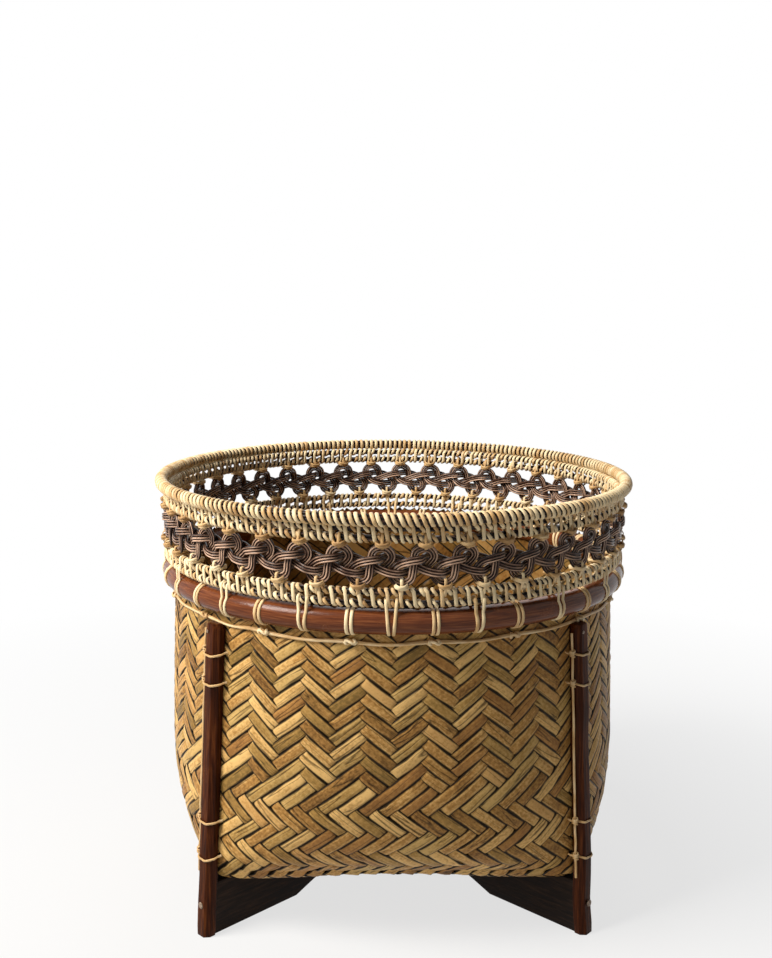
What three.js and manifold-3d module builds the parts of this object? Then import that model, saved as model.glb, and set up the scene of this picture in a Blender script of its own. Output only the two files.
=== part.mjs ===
// A footed basket: a bias-plaited body, round at the top and square at the base, that hangs between
// two hoops. A looped cane braid joins two bound border rings under a bound rim. Four split poles
// stand at the corners, and two crossed boards under the base carry them.
// Millimetres, +Z up, the floor at z = 0, the front towards -Y.
import * as THREE from 'three';
import Module from 'manifold-3d';
import { mergeVertices } from 'three/addons/utils/BufferGeometryUtils.js';

const wasm = await Module();
wasm.setup();

// Fit
const clearance = 0.3;

// Plaited body
const bodyRadius = 184;
const bodyWall = 2.4;
const baseCornerCut = 12.6;
const baseEdge = 12;
const baseLift = 6.5;
const baseStrips = [40, 38];
const cornerCrowding = 0.12;
const wallFullness = 8;

// Twill on the wall: rows of strips that run up and down round the body, with sunk lines between
const twillRows = 13;
const twillSink = 0.9;
const twillSwing = 0.75;
const twillFade = 0.15;

// Rim and borders: how far the rings' middles stand out, the border from the wall and the rim from it
const borderOut = 4.6;
const borderTube = 3.25;
const upperTube = 3.5;
const rimOut = 4.9;
const rimTube = 5.1;

// Hoops and lashings
const hoopHeight = 262.8;
const hoopTall = 18.5;
const hoopDeep = 9.3;
const innerHoopDeep = 6;
const lashingThick = 1.1;
const lashingWide = 7;
const lashingCount = 18;
const lashingSwing = 0.048;
const runningCord = 1.2;
const runningCordDrop = 6;

// Braid
const braidTall = 30.6;
const braidCells = 40;
const braidStart = 0.53;
const strandWide = 5.2;
const strandThick = 2;
const bendReach = 1.06;
const settleRounds = 400;

// Corner poles and crossed boards
const poleWide = 15;
const poleDeep = 9;
const poleSide = 5;
const poleFront = 8;
const poleSpread = 14.5;
const poleCord = 1;
const cordHold = 0.4;
const poleCordFoot = 48;
const poleCordDrop = 6;
const poleLoopThick = 1.6;
const poleLoopTall = 3;
const lowLoopHeights = [65, 93];
const topLoopDrops = [45, 22];
const boardTall = 42;
const boardThick = 11;
const archHalf = 115;
const archRise = 24;
const nailShank = 1.3;
const nailHead = 2.8;
const nailHeadThick = 1;
const nailBite = 20;
const nailHeight = 25;

// Facets
const ringSteps = 40;
const borderSides = 6;
const archSteps = 12;
const nailSides = 8;

const turn = 2 * Math.PI;
const quarter = turn / 4;
const ringStep = turn / ringSteps;
const boundGap = clearance + lashingThick + clearance;
const hoopTop = hoopHeight + hoopTall / 2;
const hoopBottom = hoopHeight - hoopTall / 2;
const bodyTop = hoopTop - clearance;
const baseHeight = boardTall + clearance;
const bodyFoot = baseHeight + baseEdge;
const runningCordHeight = hoopBottom - runningCordDrop;
const poleTop = runningCordHeight - runningCord - clearance;
const poleFootRadius = bodyRadius + poleSpread;

// Border rings and rim, from the hoop upwards
const borderRadius = bodyRadius + borderOut;
const lowerRing = hoopTop + boundGap + borderTube;
const lowerBorder = [lowerRing, lowerRing + 2 * borderTube + boundGap];
const braidBottom = lowerBorder[1] + borderTube + clearance;
const braidTop = braidBottom + braidTall;
const upperRing = braidTop + clearance + upperTube;
const upperBorder = [upperRing, upperRing + 2 * upperTube + clearance];
const borderFlat = upperTube * Math.cos(turn / (2 * borderSides));
const rimReach = rimTube + borderFlat + clearance;
const rimRadius = borderRadius + rimOut;
const rimHeight = upperBorder[1] + Math.sqrt(rimReach ** 2 - rimOut ** 2);

const group = new THREE.Group();

function surface(color, roughness, metalness = 0) {
  return new THREE.MeshStandardMaterial({ color, roughness, metalness });
}

const plaitSurface = surface(0xa9804a, 0.7);
const caneSurface = surface(0xd9b981, 0.6);
const braidSurface = surface(0x5b4233, 0.55);
const poleSurface = surface(0x4a2316, 0.4);
const hoopSurface = surface(0x6e3318, 0.3);
const boardSurface = surface(0x241611, 0.6);
const nailSurface = surface(0x8a6a50, 0.5, 0.8);

function add(name, geometry, material) {
  const mesh = new THREE.Mesh(geometry, material.clone());
  mesh.name = name;
  group.add(mesh);
}

// Makes a closed body and turns its faces outwards.
function solid(positions, index) {
  const corners = [0, 1, 2].map(() => new THREE.Vector3());
  let volume = 0;
  for (let i = 0; i < index.length; i += 3) {
    corners.forEach((corner, k) => corner.fromArray(positions, 3 * index[i + k]));
    volume += corners[0].dot(corners[1].cross(corners[2]));
  }
  const geometry = new THREE.BufferGeometry();
  geometry.setAttribute('position', new THREE.Float32BufferAttribute(positions, 3));
  geometry.setIndex(volume < 0 ? [...index].reverse() : index);
  return geometry;
}

// Skins a row of sections of as many points. A closed row runs back to its start.
function loft(sections, closed) {
  const size = sections[0].length;
  const positions = sections.flat().flatMap((point) => point.toArray());
  const index = [];
  const rows = closed ? sections.length : sections.length - 1;
  for (let row = 0; row < rows; row += 1) {
    const near = row * size;
    const far = ((row + 1) % sections.length) * size;
    for (let k = 0; k < size; k += 1) {
      const next = (k + 1) % size;
      index.push(near + k, near + next, far + next, near + k, far + next, far + k);
    }
  }
  if (!closed) {
    const last = rows * size;
    for (let k = 1; k < size - 1; k += 1) {
      index.push(0, k + 1, k);
      index.push(last, last + k, last + k + 1);
    }
  }
  return solid(positions, index);
}

function weld(geometry) {
  const bare = geometry.clone();
  bare.deleteAttribute('normal');
  bare.deleteAttribute('uv');
  return mergeVertices(bare, 1e-4);
}

function toManifold(geometry) {
  const vertProperties = Float32Array.from(geometry.getAttribute('position').array);
  const triVerts = Uint32Array.from(geometry.getIndex().array);
  return new wasm.Manifold(new wasm.Mesh({ numProp: 3, vertProperties, triVerts }));
}

function fromManifold(manifold) {
  const mesh = manifold.getMesh();
  return solid(Array.from(mesh.vertProperties), Array.from(mesh.triVerts));
}

function carve(geometry, tool) {
  return fromManifold(toManifold(geometry).subtract(toManifold(tool)));
}

function fuse(geometries) {
  return fromManifold(geometries.map(toManifold).reduce((body, piece) => body.add(piece)));
}

function extrude(points, wide) {
  const geometry = new THREE.ExtrudeGeometry(points, { depth: wide, bevelEnabled: false });
  return weld(geometry.translate(0, 0, -wide / 2));
}

// Stands a shape up that was drawn with x outwards and y upwards.
function upright(geometry) {
  return geometry.rotateX(quarter);
}

// Rings
function around(angle, radius, height) {
  return new THREE.Vector3(radius * Math.cos(angle), radius * Math.sin(angle), height);
}

function ring(profile) {
  const sections = [];
  for (let i = 0; i < ringSteps; i += 1) {
    sections.push(profile.map(([radius, height]) => around(i * ringStep, radius, height)));
  }
  return loft(sections, true);
}

function roundProfile(radius, height, tube, sides, first = 0) {
  const points = [];
  for (let i = 0; i < sides; i += 1) {
    const angle = ((i + first) * turn) / sides;
    points.push([radius + tube * Math.cos(angle), height + tube * Math.sin(angle)]);
  }
  return points;
}

// Seats a shape drawn at angle zero on the flat of a ring's facet.
const facetFlat = Math.cos(ringStep / 2);

function seat(geometry, angle, radius) {
  const middle = (Math.floor(angle / ringStep) + 0.5) * ringStep;
  const along = radius * facetFlat * Math.tan(angle - middle);
  return geometry.clone().scale(facetFlat, 1, 1).translate(0, along, 0).rotateZ(middle);
}

// Moves a path to its right by a distance and keeps its corners sharp.
function offsetPath(path, distance) {
  return path.map((point, i) => {
    const before = new THREE.Vector2().subVectors(point, path[i - 1] ?? point).normalize();
    const after = new THREE.Vector2().subVectors(path[i + 1] ?? point, point).normalize();
    const along = new THREE.Vector2().addVectors(before, after).normalize();
    const stretch = distance / Math.max(along.dot(i > 0 ? before : after), 0.5);
    return new THREE.Vector2(point.x + along.y * stretch, point.y - along.x * stretch);
  });
}

function strap(corners, thick, wide) {
  const path = corners.map(([x, y]) => new THREE.Vector2(x, y));
  const near = offsetPath(path, clearance);
  const far = offsetPath(path, clearance + thick);
  return extrude(new THREE.Shape([...near, ...far.reverse()]), wide);
}

// Body: each level is a circle at the top and comes nearer to a square towards the base. Its
// corners run down along the poles.
const poleLean = (poleFootRadius - bodyRadius - clearance) / poleTop;

function poleFace(height) {
  return poleFootRadius - poleLean * height;
}

function cornerReach(height) {
  return poleFace(Math.min(height, poleTop)) - clearance;
}

// The base is woven two strips wider than it is deep, so its corners lie nearer to the sides.
const [stripsWide, stripsDeep] = baseStrips;
const baseStretch = (stripsWide - stripsDeep) / (stripsWide + stripsDeep);
const cornerAngle = Math.atan2(stripsDeep, stripsWide);
const bodyBaseHalf = (cornerReach(bodyFoot) + baseCornerCut) / Math.SQRT2;

function bodyLevel(height) {
  const square = THREE.MathUtils.clamp((poleTop - height) / (poleTop - bodyFoot), 0, 1);
  const half = bodyRadius - (bodyRadius - bodyBaseHalf) * square ** wallFullness;
  return { half, corner: cornerReach(height), square };
}

function bodyPoint(level, inset, share, i, heightAt) {
  const half = level.half - inset;
  const power = Math.LN2 / Math.log((half * Math.SQRT2) / (level.corner - inset));
  const angle = i * ringStep + cornerCrowding * level.square * Math.sin(4 * i * ringStep);
  const sum = Math.abs(Math.cos(angle)) ** power + Math.abs(Math.sin(angle)) ** power;
  const point = around(angle, (share * half) / sum ** (1 / power), heightAt(angle));
  point.x *= 1 + baseStretch * level.square;
  point.y *= 1 - baseStretch * level.square;
  return point;
}

function bodyRing(level, inset, share, heightAt) {
  return Array.from({ length: ringSteps }, (_, i) => bodyPoint(level, inset, share, i, heightAt));
}

// A ring of the wall that goes up and down with the twill, less so near the wall's foot and top
function twillRing(share, inset) {
  const pitch = (poleTop - bodyFoot) / twillRows;
  const swing = pitch * twillSwing * Math.min(1, share / twillFade, (1 - share) / twillFade);
  return Array.from({ length: ringSteps }, (_, i) => {
    const height = THREE.MathUtils.lerp(bodyFoot, poleTop, share) + (i % 2 ? swing : -swing);
    return bodyPoint(bodyLevel(height), inset, 1, i, () => height);
  });
}

function bodySkin(inset) {
  const foot = bodyLevel(bodyFoot);
  const bend = baseEdge - inset;
  const rings = [];
  for (const share of [0.2, 0.65]) {
    const lift = (angle) => baseHeight + inset + baseLift * (share * Math.cos(2 * angle)) ** 2;
    rings.push(bodyRing(foot, inset + bend, share, lift));
  }
  for (const share of [0, 0.5, 1]) {
    const rise = bend * (1 - Math.cos(share * quarter));
    const lift = (angle) => (
      baseHeight + inset + rise + baseLift * (1 - share) * Math.cos(2 * angle) ** 2
    );
    rings.push(bodyRing(foot, inset + bend * (1 - Math.sin(share * quarter)), 1, lift));
  }
  for (let k = 1; k <= 2 * twillRows; k += 1) {
    rings.push(twillRing(k / (2 * twillRows), inset + (k % 2) * twillSink));
  }
  rings.push(bodyRing(bodyLevel(bodyTop), inset, 1, () => bodyTop));
  return rings;
}

add('plaited_body', loft([...bodySkin(0), ...bodySkin(bodyWall).reverse()], false), plaitSurface);

// Hoops
const hoopFace = bodyRadius + clearance;
const hoopCrown = hoopFace + hoopDeep;
const hoopRound = hoopDeep * 0.45;
const innerFace = bodyRadius - bodyWall - clearance;
const innerCrown = innerFace - innerHoopDeep;
const innerRound = innerHoopDeep * 0.4;
const outerHoop = [
  [hoopFace, hoopBottom],
  [hoopFace + hoopRound, hoopBottom],
  [hoopCrown, hoopBottom + hoopRound],
  [hoopCrown, hoopTop - hoopRound],
  [hoopFace + hoopRound, hoopTop],
  [hoopFace, hoopTop],
];
const innerHoop = [
  [innerFace, hoopTop],
  [innerCrown, hoopTop - innerRound],
  [innerCrown, hoopBottom + innerRound],
  [innerFace, hoopBottom],
];
add('outer_hoop', ring(outerHoop), hoopSurface);
add('inner_hoop', ring(innerHoop), hoopSurface);

// Borders and rim
function addBorder(name, heights, tube) {
  const [below, above] = heights.map((height) => (
    ring(roundProfile(borderRadius, height, tube, borderSides, 0.5))
  ));
  add(`${name}_border_lower_ring`, below, caneSurface);
  add(`${name}_border_upper_ring`, above, caneSurface);
}

addBorder('lower', lowerBorder, borderTube);
addBorder('upper', upperBorder, upperTube);
add('rim', ring(roundProfile(rimRadius, rimHeight, rimTube, 8)), caneSurface);

// Braid: the path of one strand over two cells, as cells along and shares of the half height. It
// goes forward in a long wave and back through a top loop and a bottom loop. The second half of
// the wave and of the loops is the first half turned round.
const waveMiddle = 0.75;
const loopMiddle = 1.75;
const waveHalf = [
  [-0.75, -0.54], [-0.67, -0.13], [-0.45, 0.24], [-0.12, 0.41], [0.17, 0.43], [0.45, 0.28],
];
const loopHalf = [[2.15, 0.93], [1.97, 1], [1.8, 0.73]];

function turnedRound(half, middle) {
  return half.map(([along, up]) => [2 * middle - along, -up]).reverse();
}

const motif = [
  ...waveHalf,
  [waveMiddle, 0],
  ...turnedRound(waveHalf, waveMiddle),
  ...loopHalf,
  [loopMiddle, 0],
  ...turnedRound(loopHalf, loopMiddle),
];
const motifSize = motif.length;

// Crossings: the places along the motif where a strand lies over one that started some cells back.
const crossings = [
  { over: 16.5, under: 9.3, back: 0 },
  { over: 1.9, under: 5.3, back: 1 },
  { over: 16, under: 6, back: -1 },
  { over: 6.7, under: 10, back: 1 },
  { over: 7.7, under: 0.1, back: -2 },
  { over: 2.7, under: 15.4, back: 2 },
  { over: 11.9, under: 4.3, back: -2 },
];

const cellAngle = turn / braidCells;
const braidRadius = (borderRadius * (1 + facetFlat)) / 2;
const cellLength = cellAngle * braidRadius;
const loopReach = (braidTop - braidBottom - bendReach * strandWide) / 2;
const strandPath = motif.map(([along, up]) => new THREE.Vector2(along * cellLength, up * loopReach));

function laidOut(points, i, cellsBack = 0) {
  const lap = Math.floor(i / motifSize);
  const point = points[i - lap * motifSize].clone();
  point.x += (2 * lap - cellsBack) * cellLength;
  return point;
}

function strandEdge(side) {
  const path = [laidOut(strandPath, -1), ...strandPath, laidOut(strandPath, motifSize)];
  return offsetPath(path, (side * strandWide) / 2).slice(1, -1);
}

// Whether the first of two places lies over the other one, from the crossing nearest to both.
const cellPlaces = motifSize / 2;

function lapGap(a, b) {
  const lap = motifSize * Math.round((a + b) / 2 / motifSize);
  return Math.abs(a - lap) + Math.abs(b - lap);
}

function liesOver(place, other, back) {
  const choices = [];
  for (const crossing of crossings) {
    if ((crossing.back - back) % 2 === 0) {
      const shift = cellPlaces * crossing.back;
      const upper = lapGap(place - crossing.over, other - crossing.under + shift);
      const lower = lapGap(other - crossing.over - shift, place - crossing.under);
      choices.push({ above: true, gap: upper }, { above: false, gap: lower });
    }
  }
  choices.sort((a, b) => a.gap - b.gap);
  return choices[0].above;
}

// Pairs of places, upper and lower, where the bands of the strands cover each other.
const strandEdges = [strandEdge(-1), strandEdge(1)];
const alongSamples = [0.1, 0.3, 0.5, 0.7, 0.9];
const acrossSamples = [0, 0.25, 0.5, 0.75, 1];
const endReach = 0.05;
const leastLap = 3.5;

function placeOnSegment(point, i, back) {
  const start = laidOut(strandPath, i, back);
  const run = laidOut(strandPath, i + 1, back).sub(start);
  const offset = point.clone().sub(start);
  const along = offset.dot(run) / run.lengthSq();
  const across = Math.abs(offset.cross(run)) / run.length();
  const covered = Math.abs(along - 0.5) < 0.5 + endReach && across < strandWide / 2 + clearance;
  return covered ? i + THREE.MathUtils.clamp(along, 0, 1) : null;
}

function bandPoint(i, along, across) {
  const [near, far] = [i, i + 1].map((k) => {
    const [left, right] = strandEdges.map((edge) => laidOut(edge, k));
    return left.lerp(right, across);
  });
  return near.lerp(far, along);
}

function coveredPlaces(place, point, back) {
  const pairs = [];
  for (let i = 0; i < motifSize; i += 1) {
    const apart = Math.abs(place - i - 0.5 + back * cellPlaces);
    const other = back % 2 === 0 && apart < leastLap ? null : placeOnSegment(point, i, back);
    if (other !== null) {
      const above = liesOver(place, other - back * cellPlaces, back);
      pairs.push(above ? [place, other] : [other, place]);
    }
  }
  return pairs;
}

function coveredPairs() {
  const pairs = [];
  for (let i = 0; i < motifSize; i += 1) {
    for (const along of alongSamples) {
      for (const across of acrossSamples) {
        const point = bandPoint(i, along, across);
        for (let back = -3; back <= 3; back += 1) {
          pairs.push(...coveredPlaces(i + along, point, back));
        }
      }
    }
  }
  return pairs;
}

// Depth of each corner of the path: pushes the upper places out and the lower ones in until the
// bands are clear of each other, and smooths the path meanwhile.
function settledDepths() {
  const depths = new Array(motifSize).fill(0);
  const weights = (place) => {
    const first = Math.floor(place) % motifSize;
    const share = place - Math.floor(place);
    return [[first, 1 - share], [(first + 1) % motifSize, share]];
  };
  const depthAt = (place) => weights(place).reduce((sum, [i, part]) => sum + part * depths[i], 0);
  const push = (place, amount) => {
    const parts = weights(place);
    const total = parts.reduce((sum, [, part]) => sum + part * part, 0);
    parts.forEach(([i, part]) => { depths[i] += (amount * part) / total; });
  };
  const pairs = coveredPairs();
  for (let round = 0; round < settleRounds; round += 1) {
    for (const [upper, lower] of pairs) {
      const lack = strandThick + clearance - depthAt(upper) + depthAt(lower);
      if (lack > 0) {
        push(upper, lack / 4);
        push(lower, -lack / 4);
      }
    }
    const smooth = 0.08 * Math.max(1 - (1.3 * round) / settleRounds, 0);
    const before = [...depths];
    before.forEach((depth, i) => {
      const beside = (before.at(i - 1) + before[(i + 1) % motifSize]) / 2;
      depths[i] += smooth * (beside - depth);
    });
  }
  const middle = (Math.max(...depths) + Math.min(...depths)) / 2;
  return depths.map((depth) => depth - middle);
}

const depths = settledDepths();
const braidMiddle = (braidBottom + braidTop) / 2;

function strand(start) {
  const [left, right] = strandEdges;
  const sections = [];
  for (let lap = 0; lap < braidCells / 2; lap += 1) {
    for (let i = 0; i < motifSize; i += 1) {
      const sides = [[left[i], 1], [right[i], 1], [right[i], -1], [left[i], -1]];
      sections.push(sides.map(([point, face]) => {
        const angle = (point.x / cellLength + 2 * lap + start) * cellAngle;
        const radius = braidRadius + depths[i] + (face * strandThick) / 2;
        return around(angle, radius, braidMiddle + point.y);
      }));
    }
  }
  return loft(sections, true);
}

add('braid_strand_a', strand(braidStart), braidSurface);
add('braid_strand_b', strand(braidStart + 1), braidSurface);

// Lashings: one cane runs along the wall under the hoops and goes up at each lashing, over both
// hoops and back to the wall. A long lashing takes in the lower border ring as well.
function lashing(long) {
  const ringTop = lowerBorder[0] + borderTube;
  const short = [[hoopFace + hoopRound, hoopTop], [innerCrown, hoopTop]];
  const overRing = [
    [borderRadius + borderTube, ringTop],
    [borderRadius - borderTube, ringTop],
    [innerCrown, hoopTop - innerRound],
  ];
  const path = [
    [bodyRadius, runningCordHeight],
    [bodyRadius, hoopBottom],
    [hoopFace + hoopRound, hoopBottom],
    [hoopCrown, hoopBottom + hoopRound],
    [hoopCrown, hoopTop - hoopRound],
    ...(long ? overRing : short),
    [innerCrown, hoopBottom],
    [innerFace, hoopBottom],
  ];
  return upright(strap(path, lashingThick, lashingWide));
}

function lashingCane() {
  const cordProfile = roundProfile(hoopFace + runningCord, runningCordHeight, runningCord, 4);
  const pieces = [ring(cordProfile)];
  [lashing(true), lashing(false)].forEach((geometry, k) => {
    for (let i = 0; i < lashingCount; i += 1) {
      const even = ((2 * i + k) * turn) / (2 * lashingCount) - quarter;
      const middle = (Math.floor(even / ringStep) + 0.5) * ringStep;
      const angle = THREE.MathUtils.clamp(even, middle - lashingSwing, middle + lashingSwing);
      pieces.push(seat(geometry, angle, borderRadius));
    }
  });
  return fuse(pieces);
}

add('lashing_cane', lashingCane(), caneSurface);

// Poles: drawn with x along the wall and y outwards from the pole's inner face.
const poleSection = [
  [-poleWide / 2, 0],
  [poleWide / 2, 0],
  [poleWide / 2, poleSide],
  [poleFront / 2, poleDeep],
  [-poleFront / 2, poleDeep],
  [-poleWide / 2, poleSide],
];
const poleLevels = [[0, 0.93], [7, 1.03], [18, 1], [poleTop - 4, 1], [poleTop, 0.78]];
const nailSeat = poleFace(nailHeight - nailHead) + poleDeep + clearance;
const nailPoint = poleFace(nailHeight) - nailBite;

function disc(radius, sides, place) {
  const points = [];
  for (let i = 0; i < sides; i += 1) {
    const angle = (i * turn) / sides;
    points.push(place(radius * Math.cos(angle), radius * Math.sin(angle)));
  }
  return points;
}

function pole() {
  return loft(poleLevels.map(([height, scale]) => poleSection.map(([x, y]) => (
    new THREE.Vector3(x * scale, poleFace(height) + y, height)
  ))), false);
}

function nailRod(stations) {
  return loft(stations.map(([radius, out]) => (
    disc(radius, nailSides, (x, z) => new THREE.Vector3(x, out, nailHeight + z))
  )), false);
}

const nailHole = nailRod([
  [nailShank + clearance, nailPoint - clearance],
  [nailShank + clearance, nailSeat + nailHead],
]);
const nail = nailRod([
  [nailShank, nailPoint],
  [nailShank, nailSeat],
  [nailHead, nailSeat],
  [nailHead, nailSeat + nailHeadThick],
]);

const cordSide = poleWide / 2 + clearance + poleCord;
const cordBack = poleCord + clearance;

function sideCord() {
  return loft([poleCordFoot, poleTop - poleCordDrop].map((height) => (
    disc(poleCord, 6, (x, y) => new THREE.Vector3(cordSide + x, poleFace(height) + cordBack + y, height))
  )), false);
}

function poleLoop(height) {
  const overCord = cordSide + poleCord - clearance - cordHold;
  const bevel = (poleDeep - poleSide) / (poleWide / 2 - poleFront / 2);
  const path = [
    [overCord, 0],
    [overCord, poleSide - bevel * (overCord - poleWide / 2)],
    [poleFront / 2, poleDeep],
    [-poleFront / 2, poleDeep],
    [-poleWide / 2, poleSide],
    [-poleWide / 2, 0],
  ];
  return strap(path, poleLoopThick, poleLoopTall).translate(0, poleFace(height), height);
}

const corners = {
  front_left: turn / 2 + cornerAngle,
  front_right: turn - cornerAngle,
  back_right: cornerAngle,
  back_left: turn / 2 - cornerAngle,
};
const drilledPole = carve(pole(), nailHole);
const poleLoopHeights = [...lowLoopHeights, ...topLoopDrops.map((drop) => poleTop - drop)];
const poleLashing = fuse([sideCord(), ...poleLoopHeights.map(poleLoop)]);
for (const [name, angle] of Object.entries(corners)) {
  const facing = angle - quarter;
  add(`${name}_pole`, drilledPole.clone().rotateZ(facing), poleSurface);
  add(`${name}_pole_lashing`, poleLashing.clone().rotateZ(facing), caneSurface);
  add(`${name}_foot_nail`, nail.clone().rotateZ(facing), nailSurface);
}

// Boards: arched underneath and halved over each other in the middle.
function archAt(distance) {
  return archRise * (1 - (distance / archHalf) ** 2);
}

function board() {
  const end = (height) => poleFace(height) - clearance;
  const points = [
    [archHalf, 0], [end(0), 0], [end(boardTall), boardTall], [-end(boardTall), boardTall], [-end(0), 0],
  ];
  for (let i = 0; i < archSteps; i += 1) {
    const distance = archHalf * ((2 * i) / archSteps - 1);
    points.push([distance, archAt(distance)]);
  }
  const shape = new THREE.Shape(points.map(([x, y]) => new THREE.Vector2(x, y)));
  return upright(extrude(shape, boardThick));
}

function notch(low, high, lean) {
  const wide = boardThick + 2 * clearance;
  const box = new THREE.BoxGeometry(wide, 2 * boardThick, high - low);
  return weld(box).rotateZ(lean).translate(0, 0, (low + high) / 2);
}

function drilled(geometry) {
  return [quarter, -quarter].reduce((body, side) => (
    carve(body, nailHole.clone().rotateZ(side))
  ), geometry);
}

const lapHeight = (archRise + boardTall) / 2;
const lapLean = quarter - 2 * cornerAngle;
const slotTop = carve(drilled(board()), notch(lapHeight, boardTall + boardThick, lapLean));
const slotBelow = carve(drilled(board()), notch(0, lapHeight + clearance, -lapLean));
add('base_board_lower', slotTop.rotateZ(corners.back_right), boardSurface);
add('base_board_upper', slotBelow.rotateZ(corners.back_left), boardSurface);

export default group;
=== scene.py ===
import math

import bpy
import numpy as np
from mathutils import Matrix, Vector


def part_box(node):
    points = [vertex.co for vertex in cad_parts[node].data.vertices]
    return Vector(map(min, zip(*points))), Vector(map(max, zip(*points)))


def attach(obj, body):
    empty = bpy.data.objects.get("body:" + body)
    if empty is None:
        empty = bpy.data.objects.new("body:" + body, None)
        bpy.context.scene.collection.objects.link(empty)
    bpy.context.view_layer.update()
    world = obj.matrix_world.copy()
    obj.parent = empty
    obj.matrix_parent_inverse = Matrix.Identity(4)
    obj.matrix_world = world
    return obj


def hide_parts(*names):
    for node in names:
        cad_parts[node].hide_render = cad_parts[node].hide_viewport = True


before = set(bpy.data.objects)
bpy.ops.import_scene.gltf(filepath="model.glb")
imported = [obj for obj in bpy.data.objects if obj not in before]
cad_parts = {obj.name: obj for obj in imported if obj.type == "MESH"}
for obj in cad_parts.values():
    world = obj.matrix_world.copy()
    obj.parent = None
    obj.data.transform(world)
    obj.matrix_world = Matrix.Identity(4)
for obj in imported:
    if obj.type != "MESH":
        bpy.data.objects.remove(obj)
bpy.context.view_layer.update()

mm = 0.001
turn = 2 * math.pi

# Camera, as far away and as high as the photograph was taken
cameraSet = {
    "place": (-0.0295, -0.9641, 0.4930),
    "turn": -0.024,
    "tilt": -0.1637,
    "roll": -0.0068,
    "lens": 43.28,
    "sensor": 36.0,
}


def addObject(name, data):
    thing = bpy.data.objects.new(name, data)
    bpy.context.scene.collection.objects.link(thing)
    return thing


def makeCamera():
    data = bpy.data.cameras.new("camera")
    data.lens = cameraSet["lens"]
    data.sensor_width = cameraSet["sensor"]
    camera = addObject("camera", data)
    aim = Matrix.Rotation(cameraSet["turn"], 4, "Z") @ Matrix.Rotation(cameraSet["tilt"], 4, "X")
    aim = aim @ Matrix.Rotation(cameraSet["roll"], 4, "Y") @ Matrix.Rotation(math.pi / 2, 4, "X")
    camera.matrix_world = Matrix.Translation(cameraSet["place"]) @ aim
    bpy.context.scene.camera = camera


makeCamera()
print("camera set")


# Places and sizes read from the frame
tubeSides = 6


def highest(name):
    return np.array(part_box(name)[1])


def ringOf(name):
    # Radius of the ring's middle, its height and its tube's radius. The CAD model's tubes are six-sided.
    low, high = (np.array(corner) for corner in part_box(name))
    tube = (high[2] - low[2]) / 2
    return high[0] - tube * math.cos(math.pi / tubeSides), (high[2] + low[2]) / 2, tube


_, bodyRadius, bodyTop = highest("plaited_body")
hoopCrown, _, hoopTop = highest("outer_hoop")
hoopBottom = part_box("outer_hoop")[0].z
hoopMiddle = (hoopTop + hoopBottom) / 2
hoopFace = bodyRadius + 0.3 * mm
innerFace = highest("inner_hoop")[0]
poleTop = highest("back_right_pole")[2]
rimTube = (highest("rim")[2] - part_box("rim")[0].z) / 2
rimRadius = highest("rim")[0] - rimTube
rimHeight = highest("rim")[2] - rimTube
ringNames = (
    "lower_border_lower_ring",
    "lower_border_upper_ring",
    "upper_border_lower_ring",
    "upper_border_upper_ring",
)
borderRings = [ringOf(name) for name in ringNames]

# Cells of the plait across the base, left to right and front to back
stripsWide, stripsDeep = 40, 38
frontUnits, sideUnits = stripsWide // 2, stripsDeep // 2
cornerAngle = math.degrees(math.atan2(stripsDeep, stripsWide))
baseStretch = (stripsWide - stripsDeep) / (stripsWide + stripsDeep)
corners = {
    "front_left": 180 + cornerAngle,
    "front_right": 360 - cornerAngle,
    "back_right": cornerAngle,
    "back_left": 180 - cornerAngle,
}
poleFootRadius = bodyRadius + 14.5 * mm
chance = np.random.default_rng(7)


def cornerLabel(corner):
    return corner.replace("_", " ").title().replace(" ", "")


def poleFaceAt(height):
    # Radius of a pole's inner face, which leans in from the foot to the hoop
    return poleFootRadius + (hoopFace - poleFootRadius) * height / poleTop


# Helpers for pieces
def deselect():
    if bpy.context.object and bpy.context.object.mode != "OBJECT":
        endEdit()
    bpy.ops.object.select_all(action="DESELECT")


def pick(piece):
    deselect()
    piece.select_set(True)
    bpy.context.view_layer.objects.active = piece


def selectAll():
    bpy.ops.mesh.select_all(action="SELECT")


def startEdit():
    bpy.ops.object.mode_set(mode="EDIT")
    selectAll()


def endEdit():
    bpy.ops.object.mode_set(mode="OBJECT")


def shadeSmooth(degrees):
    bpy.ops.object.shade_smooth_by_angle(angle=math.radians(degrees))


def settle(piece, material, slotName, *nodes):
    # Gives a finished piece its material and its place in the frame
    piece.data.materials.clear()
    piece.data.materials.append(material)
    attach(piece, "root")
    if nodes:
        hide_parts(*nodes)


def unit(vectors):
    return vectors / np.maximum(np.linalg.norm(vectors, axis=-1, keepdims=True), 1e-12)


def around(radius, angle, height):
    radius, angle, height = np.broadcast_arrays(radius, angle, height)
    return np.stack([radius * np.cos(angle), radius * np.sin(angle), height], -1)


def smoothStep(x):
    x = np.clip(x, 0, 1)
    return x * x * (3 - 2 * x)


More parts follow.
